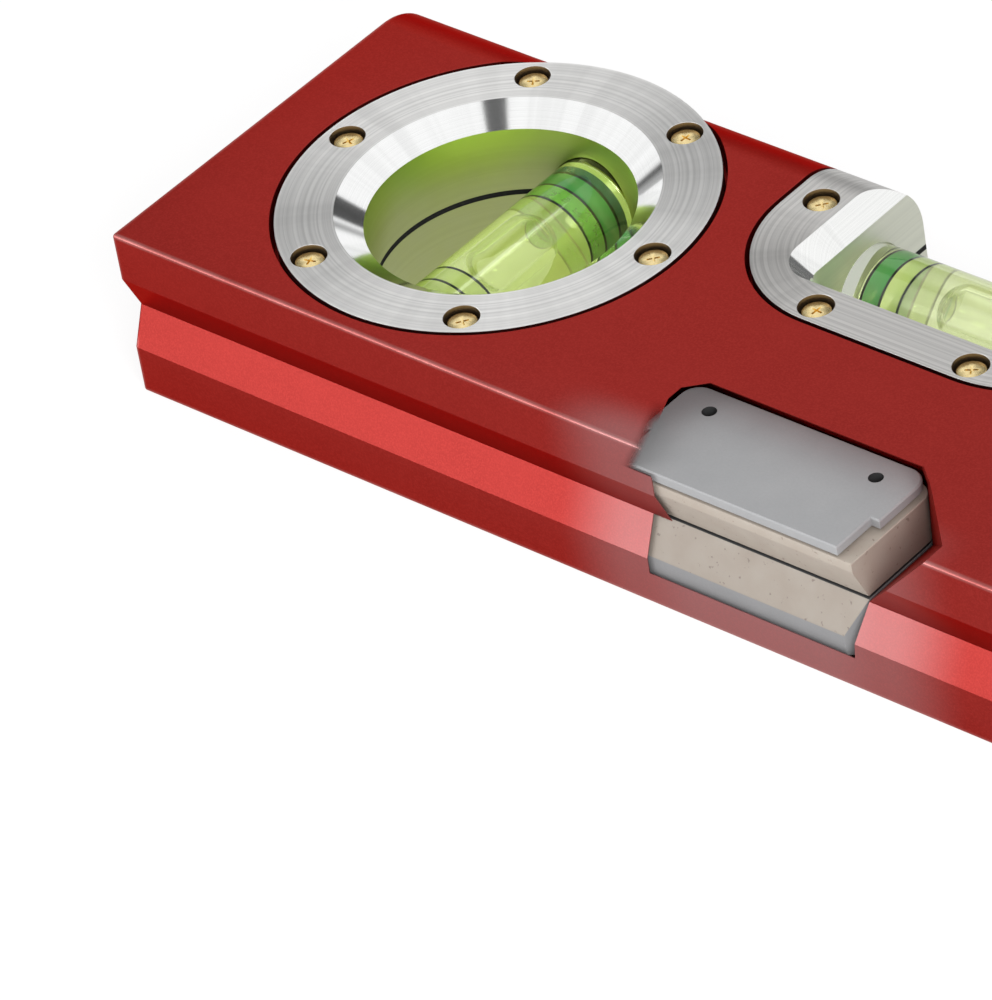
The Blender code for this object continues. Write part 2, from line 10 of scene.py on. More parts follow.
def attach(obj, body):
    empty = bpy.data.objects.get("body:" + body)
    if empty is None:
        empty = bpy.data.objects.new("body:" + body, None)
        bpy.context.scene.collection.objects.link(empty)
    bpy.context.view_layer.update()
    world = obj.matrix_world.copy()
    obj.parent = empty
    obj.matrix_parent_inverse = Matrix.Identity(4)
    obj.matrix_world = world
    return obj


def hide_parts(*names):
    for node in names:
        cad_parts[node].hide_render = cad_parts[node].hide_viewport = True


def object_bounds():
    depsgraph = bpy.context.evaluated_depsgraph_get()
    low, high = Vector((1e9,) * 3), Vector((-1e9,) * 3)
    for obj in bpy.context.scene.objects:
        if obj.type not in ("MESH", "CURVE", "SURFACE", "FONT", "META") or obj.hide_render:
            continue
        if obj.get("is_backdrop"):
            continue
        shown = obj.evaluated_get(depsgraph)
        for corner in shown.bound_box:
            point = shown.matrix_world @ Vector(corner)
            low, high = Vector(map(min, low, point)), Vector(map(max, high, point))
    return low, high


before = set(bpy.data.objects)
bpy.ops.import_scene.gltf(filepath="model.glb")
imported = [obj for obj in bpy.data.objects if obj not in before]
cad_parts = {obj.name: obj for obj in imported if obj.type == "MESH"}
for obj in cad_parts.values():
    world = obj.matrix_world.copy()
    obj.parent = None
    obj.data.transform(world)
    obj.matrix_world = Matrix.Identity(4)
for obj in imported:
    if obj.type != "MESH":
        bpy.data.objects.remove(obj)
cad_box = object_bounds()

# Bar
LENGTH = 0.165
HEIGHT = 0.051
THICKNESS = 0.0205
MID = THICKNESS / 2
TOP_EDGE_RADIUS = 0.0074
GROOVE_LAND = 0.0058
GROOVE_DEPTH = 0.0019
EDGE_ROUND = 0.0003
END_ROUND = 0.00035
RIM_CHAMFER = 0.00003
WELD = 0.000001

# Clearances
SEAT_GAP = 0.0003
FLANGE_GAP = 0.0005
GASKET_GAP = 0.00012
CRADLE_GAP = 0.0001
OVERRUN = 0.002

# Bezels
FLANGE_DEPTH = 0.0035
FLOOR_DEPTH = FLANGE_DEPTH + SEAT_GAP
GASKET_THICKNESS = 0.0004
GASKET_SWELL_SHARE = 0.8
ROUND_X = 0.051
ROUND_Y = 0.0002
BORE_RADIUS = 0.0144
CONE_WIDTH = 0.00285
CONE_DEPTH = 0.0021
SLEEVE_RADIUS = 0.0186
BOLT_CIRCLE_RADIUS = 0.0209
BEZEL_RADIUS = 0.0235
LEVEL_HALF_WIDTH = 0.0241
LEVEL_NEAR = -0.0008
LEVEL_CORNER = 0.0145
WINDOW_HALF_WIDTH = 0.0156
WINDOW_NEAR = 0.0068
WINDOW_CORNER = 0.0018
LEVEL_WALL = 0.0028
LEVEL_CHAMFER_WIDTH = 0.0022
LEVEL_CHAMFER_DEPTH = 0.0024
LEVEL_SCREWS = [(-0.0206, 0.0161), (-0.00985, 0.0016), (0.00985, 0.0016), (0.0206, 0.0161)]

# Screws
HEAD_RADIUS = 0.0016
HEAD_HEIGHT = 0.0011
HEAD_EDGE = 0.0002
HEAD_EDGE_SHARE = 0.3
SHANK_RADIUS = 0.0009
SHANK_LENGTH = 0.005
RECESS_ARM = 0.0007
RECESS_WIDTH = 0.00024
RECESS_DEPTH = 0.0004
RECESS_BOTTOM_SHARES = (0.45, 0.7)
RECESS_MOUTH_SHARES = (1.2, 1.1)
# Degrees that a screw is turned, and that each further one adds
SCREW_TURNS = (11, 37)
COUNTERBORE_RADIUS = 0.00195
COUNTERBORE_DEPTH = 0.002
COUNTERBORE_EDGE = 0.00004

# Vials
VIAL_LENGTH = 0.034
VIAL_RADIUS = 0.0054
VIAL_END_ROUND = 0.0003
VIAL_Y = 0.0163
SPIRIT_RADIUS = 0.0044
SPIRIT_CROWN = 0.00015
SPIRIT_LENGTH = 0.0278
SPIRIT_OVERLAP = 0.00002
PLUG_SHOULDER = 0.0003
VIAL_GAP = 0.0002
PLUG_GAP = VIAL_GAP / 4
BUBBLE_RADIUS = 0.0024
BUBBLE_LENGTH = 0.0112
BUBBLE_RISE = SPIRIT_RADIUS - SPIRIT_CROWN - VIAL_GAP - BUBBLE_RADIUS
LINE_WIDTH = 0.00026
LINE_HEIGHT = 0.00012
BAND_HEIGHT = 0.00004
BAND_INSET = 0.00008
RING_PITCH = 0.00235
RING_START = {"plumb": 0.0071, "level": 0.0088, "angle": 0.0071}

# Each vial's centre and its angle to the bar in degrees
VIALS = {
    "plumb": (-ROUND_X, ROUND_Y, 90),
    "level": (0, VIAL_Y, 0),
    "angle": (ROUND_X, ROUND_Y, 45),
}

# Magnet assembly
MAGNET_X = -0.0007
MAGNET_HALF_WIDTH = 0.0156
MAGNET_DEPTH = 0.0142
MAGNET_CORNER = 0.0022
MAGNET_SETBACK = 0.0005
MAGNET_POCKET_GAP = 0.0004
MAGNET_EDGE = 0.00018
POLE_FROM_FACE = 0.0032
PLATE_THICKNESS = 0.0012
PLATE_HALF_WIDTH = 0.0151
PLATE_NECK_HALF_WIDTH = 0.014
PLATE_NOTCH_DEPTH = 0.0059
LOWER_CORNER_WIDTH = 0.0023
RIVET_HOLE_RADIUS = 0.0008
RIVET_HOLE_X = 0.0106
RIVET_HOLE_Y = -0.0144

# The skin over the magnet is cut away along one slanted line of sight, so that the magnet shows.
# Its outline is drawn at the height of the plate's top
SIGHT = (0.944, -0.897)
SKIN = 0.0001
SKIN_CUT_Z = 0.017
SKIN_CUT = [
    (-0.0142, -0.01085), (-0.0163, -0.0129), (-0.0163, -0.0150), (-0.0119, -0.0253),
    (-0.0099, -0.0254), (-0.0032, -0.0316), (0.0219, -0.0316), (0.0219, -0.0197),
    (0.0167, -0.0144), (0.0149, -0.0126), (0.0128, -0.01085),
]
END_CUT_Z = 0.0103
END_CUT_X = 0.0150
MOUTH_UPPER_X = -0.0098
# The mouth below the groove's middle, in X and Z
LOWER_MOUTH = [
    (-0.0122, 0.0039), (0.0141, 0.0039), (0.0143, 0.0058), (0.0153, MID), (-0.0122, MID),
]

# The pale haze in the paint round the magnet, as distances from start to end
HAZE_X = 0.002
HAZE_SIDE = (0.0265, 0.016)
HAZE_MIDDLE = (0.016, 0.008)
HAZE_Y = (-0.019, -0.0245)
HAZE_SHARES = (0.22, 0.1)
# Where the skin thins out to nothing beside the plate
THIN_BESIDE = (0.0020, 0.0)
THIN_FRONT = (-0.0045, -0.004)
THIN_LENGTH = 0.004
THIN_Z = (0.0171, 0.0173)
# Heights above the middle between which a painted glow of the liquid's green light is laid on the
# bore's wall
PAINTED_GLOW_Z = (0.002, 0.0085)

# Surface relief
# Width of the pale edges, partly wear and partly a painted highlight, and the shares of pale colour
# they take
EDGE_WEAR_AND_HIGHLIGHT = 0.0006
WEAR_AND_HIGHLIGHT_SHARES = (0.05, 0.4)
GRAIN_DEPTH = 0.00002
PIT_DEPTH = 0.00003
FLOW_DEPTH = 0.00005
BRASS_DEPTH = 0.00001
TURNED_DEPTH = 0.000014
MILLED_DEPTH = 0.000016
CONE_POLISH_DEPTH = 0.000001
SLOPE_POLISH_DEPTH = 0.0000005

# Facets round each kind of curve
TURN_STEPS = 160
HOLE_STEPS = 32
VIAL_STEPS = 96
CORNER_STEPS = 24
EDGE_STEPS = 24
MAGNET_STEPS = 8
BEND_STEPS = 3
BORE_STEPS = 12
DOME_STEPS = 16
BUBBLE_STEPS = 64
ROUND_STEPS = 8
# Edges sharper than this many degrees stay sharp: most pieces, screws, and the body with its groove
SMOOTH_ANGLE = 28
SCREW_ANGLE = 35
FACET_ANGLE = 15
# How upright a face's normal is on a flat face, and at least on a slope
FLAT = 0.98
SLOPED = 0.3
# The same for the magnet's rounded pieces
UPRIGHT = 0.8
LEANING = 0.2

# Camera
CAMERA_AIM = (-0.017898, -0.039187, THICKNESS)
CAMERA_DISTANCE = 0.75369
CAMERA_AZIMUTH = 46.485
CAMERA_ELEVATION = 37.535
CAMERA_ROLL = -10.170
SENSOR = 36
LENS = 276.055
CLIP = (0.01, 20)

# Studio
FLOOR_HALF = 3.0
FLOOR_DROP = 0.00005
FLOOR_SHOWN = 0.8
FLOOR_IN_METAL = 0.6
LAMP_DISTANCE = 0.7
# Direction, size and power of each lamp
LAMPS = {
    "key": ((-0.5, -0.75, 0.75), 0.35, 0.6),
    "fill": ((0.68, -0.50, 0.54), 0.30, 5.0),
}
# Small dark and large bright places in the studio: direction, angular size and level
PLACES = [
    ((0.163, -0.282, 0.946), 5, 0.12),
    ((-0.06, 0.940, 0.330), 7, 0.08),
    ((0.10, 0.98, 0.12), 12, 0.15),
    ((-0.965, 0.214, 0.150), 5, 0.42),
    ((-0.575, -0.817, 0.08), 20, 3.7),
    ((0.02, 0.546, 0.836), 4, 4.5),
]
PLACE_SOFTNESS = 0.15
# The studio is darker to both sides of a bright band, which runs away from the viewer
BAND_AWAY = (-0.725, 0.689, 0)
BAND_SIDE = (0.689, 0.725, 0)
BAND_HALF_WIDTH = (0.08, 0.20)
DARK_REACH = 0.70
DARK_SOFTNESS = 0.05
DARK_LOW = (0.12, 0.20)
DARK_LEVEL = 0.15


# Mesh helpers

def arc(centre, radius, start, end, steps):
    points = []
    for step in range(steps + 1):
        angle = math.radians(start + (end - start) * step / steps)
        points.append((centre[0] + radius * math.cos(angle), centre[1] + radius * math.sin(angle)))
    return points


def shaded(mesh, sharp_angle=SMOOTH_ANGLE):
    mesh.shade_smooth()
    mesh.set_sharp_from_angle(angle=math.radians(sharp_angle))
    return mesh


def to_mesh(name, work):
    bmesh.ops.recalc_face_normals(work, faces=work.faces)
    mesh = bpy.data.meshes.new(name)
    work.to_mesh(mesh)
    work.free()
    return shaded(mesh)


def loft(name, rings):
    """A solid through rings of 3-D points that match one to one."""
    work = bmesh.new()
    rows = [[work.verts.new(point) for point in ring] for ring in rings]
    for lower, upper in zip(rows, rows[1:]):
        for k in range(len(lower)):
            after = (k + 1) % len(lower)
            work.faces.new((lower[k], lower[after], upper[after], upper[k]))
    work.faces.new(rows[0][::-1])
    work.faces.new(rows[-1])
    return to_mesh(name, work)


def lift(outline, height):
    return [(x, y, height) for x, y in outline]


def prism(name, outline, low, high):
    return loft(name, [lift(outline, low), lift(outline, high)])


def along_x(outline, x):
    return [(x, y, z) for y, z in outline]


def turned(name, profile, steps=TURN_STEPS, ring=False):
    """A profile of radius and height turned about Z. Points on the axis become one vertex."""
    work = bmesh.new()
    rows = []
    for radius, height in profile:
        if radius == 0:
            rows.append([work.verts.new((0, 0, height))] * steps)
            continue
        points = arc((0, 0), radius, 0, 360 - 360 / steps, steps - 1)
        rows.append([work.verts.new((x, y, height)) for x, y in points])
    pairs = list(zip(rows, rows[1:]))
    if ring:
        pairs.append((rows[-1], rows[0]))
    for lower, upper in pairs:
        for k in range(steps):
            after = (k + 1) % steps
            face = (lower[k], lower[after], upper[after], upper[k])
            work.faces.new(list(dict.fromkeys(face)))
    return to_mesh(name, work)


def joined(name, meshes):
    work = bmesh.new()
    for mesh in meshes:
        work.from_mesh(mesh)
    return to_mesh(name, work)


def spun_holes(name, places, profile):
    """One mesh of turned cutters, one at each place in X and Y."""
    made = []
    for x, y in places:
        mesh = turned(name, profile, HOLE_STEPS)
        mesh.transform(Matrix.Translation((x, y, 0)))
        made.append(mesh)
    return joined(name, made)


def show(name, data, at=(0, 0, 0)):
    obj = bpy.data.objects.new(name, data)
    bpy.context.scene.collection.objects.link(obj)
    obj.location = at
    return obj


def carved(name, mesh, steps, sharp_angle=SMOOTH_ANGLE):
    """A mesh after a row of boolean steps, each an operation and a cutter mesh."""
    obj = show(name, mesh)
    helpers = []
    for operation, cutter in steps:
        helpers.append(show("cutter", cutter))
        modifier = obj.modifiers.new("cut", "BOOLEAN")
        modifier.operation = operation
        modifier.object = helpers[-1]
        modifier.solver = "EXACT"
    bpy.context.view_layer.update()
    graph = bpy.context.evaluated_depsgraph_get()
    result = bpy.data.meshes.new_from_object(obj.evaluated_get(graph))
    for thing in (obj, *helpers):
        bpy.data.objects.remove(thing, do_unlink=True)
    work = bmesh.new()
    work.from_mesh(result)
    bmesh.ops.remove_doubles(work, verts=work.verts, dist=WELD)
    bmesh.ops.dissolve_degenerate(work, edges=work.edges, dist=WELD / 2)
    work.to_mesh(result)
    work.free()
    result.name = name
    return shaded(result, sharp_angle)


def level_outline(half_width, near, corner):
    """A U that runs out past the bar's top edge."""
    far = HEIGHT / 2 + OVERRUN
    left = arc((-half_width + corner, near + corner), corner, 180, 270, CORNER_STEPS)
    right = arc((half_width - corner, near + corner), corner, 270, 360, CORNER_STEPS)
    return [(-half_width, far), *left, *right, (half_width, far)]


def window_outline(grow):
    return level_outline(WINDOW_HALF_WIDTH + grow, WINDOW_NEAR - grow, WINDOW_CORNER + grow)


def round_screws(centre_x):
    return arc((centre_x, ROUND_Y), BOLT_CIRCLE_RADIUS, 0, 300, 5)


SCREWS = {"plumb": round_screws(-ROUND_X), "level": LEVEL_SCREWS, "angle": round_screws(ROUND_X)}
EVERY_SCREW = [place for places in SCREWS.values() for place in places]


def mirrored(mesh, height):
    """A copy reflected in the plane at a height."""
    made = mesh.copy()
    made.transform(Matrix.Translation((0, 0, 2 * height)) @ Matrix.Scale(-1, 4, (0, 0, 1)))
    made.flip_normals()
    return made


# Node helpers

class Nodes:
    """Builds a node tree."""

    def __init__(self, tree):
        self.tree = tree

    def node(self, kind, inputs=None, **settings):
        made = self.tree.nodes.new(kind)
        for key, value in settings.items():
            setattr(made, key, value)
        for key, value in (inputs or {}).items():
            self.feed(made.inputs[key], value)
        return made

    def feed(self, socket, value):
        if isinstance(value, bpy.types.NodeSocket):
            self.tree.links.new(value, socket)
        else:
            socket.default_value = value

    def math(self, operation, *values):
        made = self.node("ShaderNodeMath", operation=operation)
        for socket, value in zip(made.inputs, values):
            self.feed(socket, value)
        return made.outputs[0]

    def times(self, *values):
        return self.math("MULTIPLY", *values)

    def plus(self, *values):
        return self.math("ADD", *values)

    def minus(self, *values):
        return self.math("SUBTRACT", *values)

    def vector(self, operation, *values):
        made = self.node("ShaderNodeVectorMath", operation=operation)
        for socket, value in zip(made.inputs, values):
            self.feed(socket, value)
        return made

    def split(self, where):
        return self.node("ShaderNodeSeparateXYZ", {0: where}).outputs

    def step(self, value, start, end):
        """0 at start and 1 at end, smooth between."""
        made = self.node(
            "ShaderNodeMapRange", interpolation_type="SMOOTHSTEP",
            inputs={"Value": value, "From Min": start, "From Max": end},
        )
        return made.outputs["Result"]

    def noise(self, where, scale, detail=2.0, dimensions="3D", roughness=0.5):
        key = "W" if dimensions == "1D" else "Vector"
        made = self.node(
            "ShaderNodeTexNoise", noise_dimensions=dimensions,
            inputs={key: where, "Scale": scale, "Detail": detail, "Roughness": roughness},
        )
        return made.outputs["Fac"]

    def mix(self, share, first, second):
        made = self.node("ShaderNodeMix", data_type="RGBA")
        self.feed(made.inputs["Factor"], share)
        self.feed(made.inputs[6], first)
        self.feed(made.inputs[7], second)
        return made.outputs[2]

    def bump(self, height, strength, distance):
        inputs = {"Height": height, "Strength": strength, "Distance": distance}
        return self.node("ShaderNodeBump", inputs).outputs[0]

    def dot(self, where, direction):
        return self.vector("DOT_PRODUCT", where, direction).outputs["Value"]


class Finish(Nodes):
    """Builds one material round its Principled shader."""

    def __init__(self, name):
        self.material = bpy.data.materials.new(name)
        self.material.use_nodes = True
        super().__init__(self.material.node_tree)
        self.shader = self.tree.nodes["Principled BSDF"]
        self.output = self.tree.nodes["Material Output"]

    def place(self):
        return self.node("ShaderNodeTexCoord").outputs["Object"]

    def surface(self, **values):
        for key, value in values.items():
            self.feed(self.shader.inputs[key.replace("_", " ")], value)
        return self.material


def colour(red, green, blue):
    return (red, green, blue, 1)


def toned(tone, shade):
    return colour(*(tone * value for value in shade))


# Materials

RED = (colour(0.345, 0.036, 0.032), colour(0.40, 0.043, 0.038))
RED_GRAIN = colour(0.45, 0.050, 0.044)
# Pale pink along the edges: partly wear, partly a painted highlight
RED_WEAR_AND_HIGHLIGHT = colour(0.86, 0.52, 0.50)
RED_HAZE = colour(0.62, 0.56, 0.57)
RED_GLANCING = colour(0.9, 0.25, 0.2)
ALUMINIUM_SMUDGE = colour(0.62, 0.63, 0.63)
BRASS = ((1.0, 0.84, 0.46), (0.90, 0.69, 0.32))
RUBBER = ((0.006, 0.006, 0.006), (0.018, 0.018, 0.018))
AIR = ((1.0, 1.0, 0.97), (0.97, 1.0, 0.90))
INK = ((0.004, 0.012, 0.006), (0.010, 0.022, 0.010))
STEEL = ((0.28, 0.285, 0.29), (0.33, 0.33, 0.335))
STEEL_GRAIN = (0.23, 0.23, 0.24)
PLATING = ((0.42, 0.38, 0.33), (0.36, 0.30, 0.25))
PLATING_PIT = (0.25, 0.20, 0.17)
ACRYLIC_INDEX = 1.49
SPIRIT_INDEX = 1.36


def edge_wear_and_highlight(n, x, y, z, cloud):
    """The share of pale wear and painted highlight along the bar's sharp edges, where two of its outer
    faces meet.
    """
    def near(value, half):
        return n.step(value, half - EDGE_WEAR_AND_HIGHLIGHT, half - EDGE_WEAR_AND_HIGHLIGHT / 3)

    end = near(n.math("ABSOLUTE", x), LENGTH / 2)
    side = near(n.math("ABSOLUTE", n.minus(z, MID)), MID)
    bottom = near(n.times(y, -1), HEIGHT / 2)
    edges = [n.times(*pair) for pair in ((end, side), (side, bottom), (bottom, end))]
    worn_and_lit = n.math("MAXIMUM", n.math("MAXIMUM", edges[0], edges[1]), edges[2])
    least, more = WEAR_AND_HIGHLIGHT_SHARES
    return n.times(worn_and_lit, n.plus(least, n.times(cloud, more)))


def haze_share(n, x, y):
    """The share of the pale haze in the paint round the magnet."""
    side = n.math("ABSOLUTE", n.minus(x, HAZE_X))
    shares = zip((HAZE_SIDE, HAZE_MIDDLE), HAZE_SHARES)
    parts = [n.times(n.step(side, *distances), share) for distances, share in shares]
    return n.times(n.plus(*parts), n.step(y, *HAZE_Y))


def thinned_skin(n, x, y, z):
    """How far the skin has thinned out beside the cut's left side, followed down the line of sight."""
    rise = n.minus(z, THICKNESS - POLE_FROM_FACE)
    across = n.minus(x, n.times(rise, SIGHT[0]))
    along = n.minus(y, n.times(rise, SIGHT[1]))
    (back_x, back_y), (front_x, front_y) = SKIN_CUT[2:4]
    slope = (front_x - back_x) / (front_y - back_y)
    border = n.plus(back_x, n.times(n.minus(along, back_y), slope))
    beside = n.minus(border, across)
    forward = n.step(along, back_y, back_y - THIN_LENGTH)
    thin = n.times(n.step(beside, *THIN_BESIDE), forward)
    thin = n.times(thin, n.step(beside, *THIN_FRONT))
    return n.times(thin, n.step(z, *THIN_Z))


def anodised_material():
    """Satin red anodising with a fine blasted grain, cut open above the magnet."""
    n = Finish("red_anodised_aluminium")
    where = n.place()
    x, y, z = n.split(where)[:3]
    grain = n.noise(where, 5200, 3.0)
    cloud = n.noise(where, 160)
    streak_place = n.vector("MULTIPLY", where, (0.03, 1, 1)).outputs[0]
    streak = n.noise(streak_place, 900)
    base = n.mix(cloud, *RED)
    base = n.mix(n.step(grain, 0.35, 0.75), base, RED_GRAIN)
    # Pale edges: partly wear, partly a painted highlight along the edge
    base = n.mix(edge_wear_and_highlight(n, x, y, z, cloud), base, RED_WEAR_AND_HIGHLIGHT)
    base = n.mix(haze_share(n, x, y), base, RED_HAZE)
    rough = n.plus(0.33, n.times(n.plus(grain, streak), 0.06))
    relief = n.plus(n.times(streak, 0.6), grain)
    return n.surface(
        Base_Color=base, Metallic=1.0, Roughness=rough, Specular_Tint=RED_GLANCING,
        Normal=n.bump(relief, 0.25, GRAIN_DEPTH),
        Alpha=n.minus(1, thinned_skin(n, x, y, z)),
    )


def aluminium_material(name, where_to_line, tint, roughness, lines, contrast=0.14,
                       depth=GRAIN_DEPTH, anisotropic=0.0, glow=None):
    """Machined aluminium with tool lines at equal distances of where_to_line.

    With glow, a painted glow of the vial's green light tints it towards the bore's mouth.
    """
    n = Finish(name)
    where = n.place()
    along, out = where_to_line(n, where)
    line = n.noise(along, lines, 2.0, "1D", 0.6)
    fine = n.noise(along, lines * 9, 1.0, "1D")
    cloud = n.noise(where, 420)
    both = n.plus(line, n.times(fine, 0.5))
    base = n.mix(n.step(line, 0.3, 0.7), colour(*tint), toned(1 - contrast, tint))
    base = n.mix(n.times(cloud, 0.12), base, ALUMINIUM_SMUDGE)
    if glow:
        # Painted glow of the vial's green light
        base = n.mix(n.step(along, *PAINTED_GLOW_Z), base, colour(*glow))
    # Darker sectors round the centre: painted shade standing in for the fan of reflection on turned and
    # milled metal
    if out:
        painted_fan_shade = n.step(n.noise(out, 7, 3.0), 0.4, 0.7)
        base = n.mix(n.times(painted_fan_shade, 0.16), base, toned(0.4, tint))
    rough = n.plus(roughness - 0.05, n.times(both, 0.08))
    values = {"Tangent": out} if anisotropic else {}
    return n.surface(
        Base_Color=base, Metallic=1.0, Roughness=rough, Anisotropic=anisotropic,
        Normal=n.bump(both, 0.35, depth), **values,
    )


def from_centre(n, where):
    """The distance from the middle of a round bezel, and the way out from it."""
    flat = n.vector("MULTIPLY", where, (1, 1, 0)).outputs[0]
    return n.vector("LENGTH", flat).outputs["Value"], n.vector("NORMALIZE", flat).outputs[0]


def down_the_bore(n, where):
    return n.split(where)[2], None


def from_level_corner(n, where):
    """The distance from the inner line that the level bezel's outline is offset from, and its slope."""
    x, y = n.split(where)[:2]
    inner = LEVEL_HALF_WIDTH - LEVEL_CORNER
    sideways = n.math("MAXIMUM", n.minus(n.math("ABSOLUTE", x), inner), 0)
    signed = n.times(sideways, n.math("SIGN", x))
    down = n.math("MINIMUM", n.minus(y, LEVEL_NEAR + LEVEL_CORNER), 0)
    out = n.node("ShaderNodeCombineXYZ", {"X": signed, "Y": down}).outputs[0]
    return n.vector("LENGTH", out).outputs["Value"], n.vector("NORMALIZE", out).outputs[0]


def mottled(name, pair, scale, detail=1.0, tone=1):
    """A finish whose colour drifts between two, with the drift and that colour."""
    n = Finish(name)
    drift = n.noise(n.place(), scale, detail)
    return n, drift, n.mix(drift, *(toned(tone, shade) for shade in pair))


def brass_material():
    n, spots, base = mottled("screw_brass", BRASS, 2600, 3.0)
    ring = n.noise(from_centre(n, n.place())[0], 30000, 2.0, "1D")
    rough = n.plus(0.16, n.times(spots, 0.16))
    both = n.plus(ring, spots)
    return n.surface(
        Base_Color=base, Metallic=1.0, Roughness=rough, Normal=n.bump(both, 0.3, BRASS_DEPTH)
    )


def rubber_material():
    n, grain, base = mottled("gasket_rubber", RUBBER, 3000, 2.0)
    return n.surface(
        Base_Color=base, Roughness=0.7, Specular_IOR_Level=0.15,
        Normal=n.bump(grain, 0.3, GRAIN_DEPTH),
    )


def acrylic_material(name, *pair):
    n, flow, base = mottled(name, pair, 260)
    rough = n.times(flow, 0.02)
    return n.surface(
        Base_Color=base, Roughness=rough, IOR=ACRYLIC_INDEX, Transmission_Weight=1.0,
        Normal=n.bump(flow, 0.03, FLOW_DEPTH),
    )


def liquid_material(name, glow, *pair):
    """Fluorescent yellow green liquid: mostly clear, with a little colour of its own and a faint
    painted glow.
    """
    n, _, base = mottled(name, pair, 300, 2.0)
    return n.surface(
        Base_Color=base, Roughness=0.0, IOR=SPIRIT_INDEX, Transmission_Weight=0.92,
        # The emission is partly the liquid's real fluorescence, partly a painted glow
        Emission_Color=colour(*glow), Emission_Strength=0.18,
    )


def bubble_material():
    n, _, base = mottled("vial_bubble_air", AIR, 500)
    return n.surface(Base_Color=base, Roughness=0.0, IOR=SPIRIT_INDEX, Transmission_Weight=1.0)


def line_material():
    n, _, base = mottled("vial_line_black", INK, 4000)
    return n.surface(Base_Color=base, Roughness=0.45)


def band_material(name, alpha, *pair):
    n, _, base = mottled(name, pair, 700, 2.0)
    return n.surface(Base_Color=base, Roughness=0.35, Alpha=alpha)


def pole_material(name, tone):
    n, _, base = mottled(name, STEEL, 240, 2.0, tone)
    grain = n.noise(n.place(), 3600, 3.0)
    base = n.mix(n.times(grain, 0.25), base, toned(tone, STEEL_GRAIN))
    rough = n.plus(0.5, n.times(grain, 0.14))
    return n.surface(
        Base_Color=base, Metallic=0.1, Roughness=rough, Normal=n.bump(grain, 0.35, PIT_DEPTH)
    )


def plating_material(name, tone):
    n, stain, base = mottled(name, PLATING, 330, 3.0, tone)
    pits = n.noise(n.place(), 1900)
    base = n.mix(n.step(pits, 0.66, 0.74), base, toned(tone, PLATING_PIT))
    rough = n.plus(0.42, n.times(stain, 0.16))
    return n.surface(
        Base_Color=base, Metallic=0.2, Roughness=rough, Normal=n.bump(pits, 0.25, PIT_DEPTH)
    )


red = anodised_material()
turned_face = aluminium_material(
    "turned_aluminium", from_centre, tint=(0.91, 0.905, 0.89), roughness=0.36, lines=2600,
    contrast=0.2, depth=TURNED_DEPTH, anisotropic=0.9,
)
# The bore's yellow green tint and its glow are painted reflection of the vial's green light on the
# aluminium
bore_wall_painted_glow = aluminium_material(
    "bored_aluminium_painted_glow", down_the_bore, tint=(0.58, 0.63, 0.26), roughness=0.34, lines=1300,
    contrast=0.05, glow=(0.62, 0.80, 0.20),
)
polished = aluminium_material(
    "polished_aluminium", from_centre, tint=(0.98, 0.985, 0.98), roughness=0.08, lines=9000,
    contrast=0.05, depth=CONE_POLISH_DEPTH,
)
# Dark brown on the counterbores' walls: painted shade
counterbore_shade = aluminium_material(
    "counterbore_painted_shade", down_the_bore, tint=(0.26, 0.19, 0.12), roughness=0.4, lines=4000
)
milled_face = aluminium_material(
    "milled_aluminium", from_level_corner, tint=(0.75, 0.735, 0.715), roughness=0.36, lines=2600,
    contrast=0.2, depth=MILLED_DEPTH, anisotropic=0.9,
)
milled_wall = aluminium_material(
    "milled_wall_aluminium", down_the_bore, tint=(0.82, 0.835, 0.72), roughness=0.45, lines=1300,
    contrast=0.05,
)
polished_level = aluminium_material(
    "polished_level_aluminium", from_level_corner, tint=(0.96, 0.965, 0.95), roughness=0.12,
    lines=6000, contrast=0.05, depth=SLOPE_POLISH_DEPTH,
)
brass = brass_material()
rubber = rubber_material()
acrylic = acrylic_material("clear_acrylic", (0.97, 1.0, 0.92), (0.93, 0.98, 0.82))
plug_acrylic = acrylic_material("yellow_acrylic", (0.98, 0.96, 0.50), (0.96, 0.92, 0.40))
# Paler copies of the acrylic and the liquid for the level vial: painted light for its whiter look
pale_acrylic = acrylic_material("pale_acrylic", (0.98, 0.98, 0.86), (0.96, 0.97, 0.80))
liquid = liquid_material(
    "vial_liquid_green", (0.60, 0.70, 0.18), (0.83, 0.89, 0.54), (0.77, 0.85, 0.46)
)
pale_liquid = liquid_material(
    "vial_liquid_pale", (0.70, 0.72, 0.42), (0.88, 0.91, 0.68), (0.83, 0.88, 0.60)
)
air = bubble_material()
black_line = line_material()
# A teal band outside the plumb vial's high end: painted shade
outer_shade_band = band_material("band_teal_shade", 0.7, (0.01, 0.15, 0.09), (0.02, 0.20, 0.12))
dark_band = band_material("band_dark_green", 0.66, (0.04, 0.40, 0.07), (0.08, 0.48, 0.10))
mid_band = band_material("band_mid_green", 0.5, (0.17, 0.62, 0.06), (0.24, 0.68, 0.08))
light_band = band_material("band_light_green", 0.4, (0.74, 0.93, 0.24), (0.80, 0.97, 0.30))
pole = pole_material("pole_steel", 0.86)
# Nearly black steel in the rivet holes and in the gap between block and lower pole: painted shade
painted_shade_steel = pole_material("steel_painted_shade", 0.1)
# Darker copies of the pole steel and the plating for the lower pole: painted shade
shaded_low_pole = pole_material("lower_pole_steel", 0.62)
plating = plating_material("magnet_plating", 0.86)
shaded_low_plating = plating_material("lower_pole_plating", 0.62)


def dress(obj, materials, body, slot, nodes=(), choose=None):
    """Gives a piece its materials, body and the CAD nodes that it stands for. The slot is not used."""
    obj.data.materials.clear()
    for material in materials:
        obj.data.materials.append(material)
    if choose:
        for polygon in obj.data.polygons:
            polygon.material_index = choose(polygon)
    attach(obj, body)
    if nodes:
        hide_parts(*nodes)


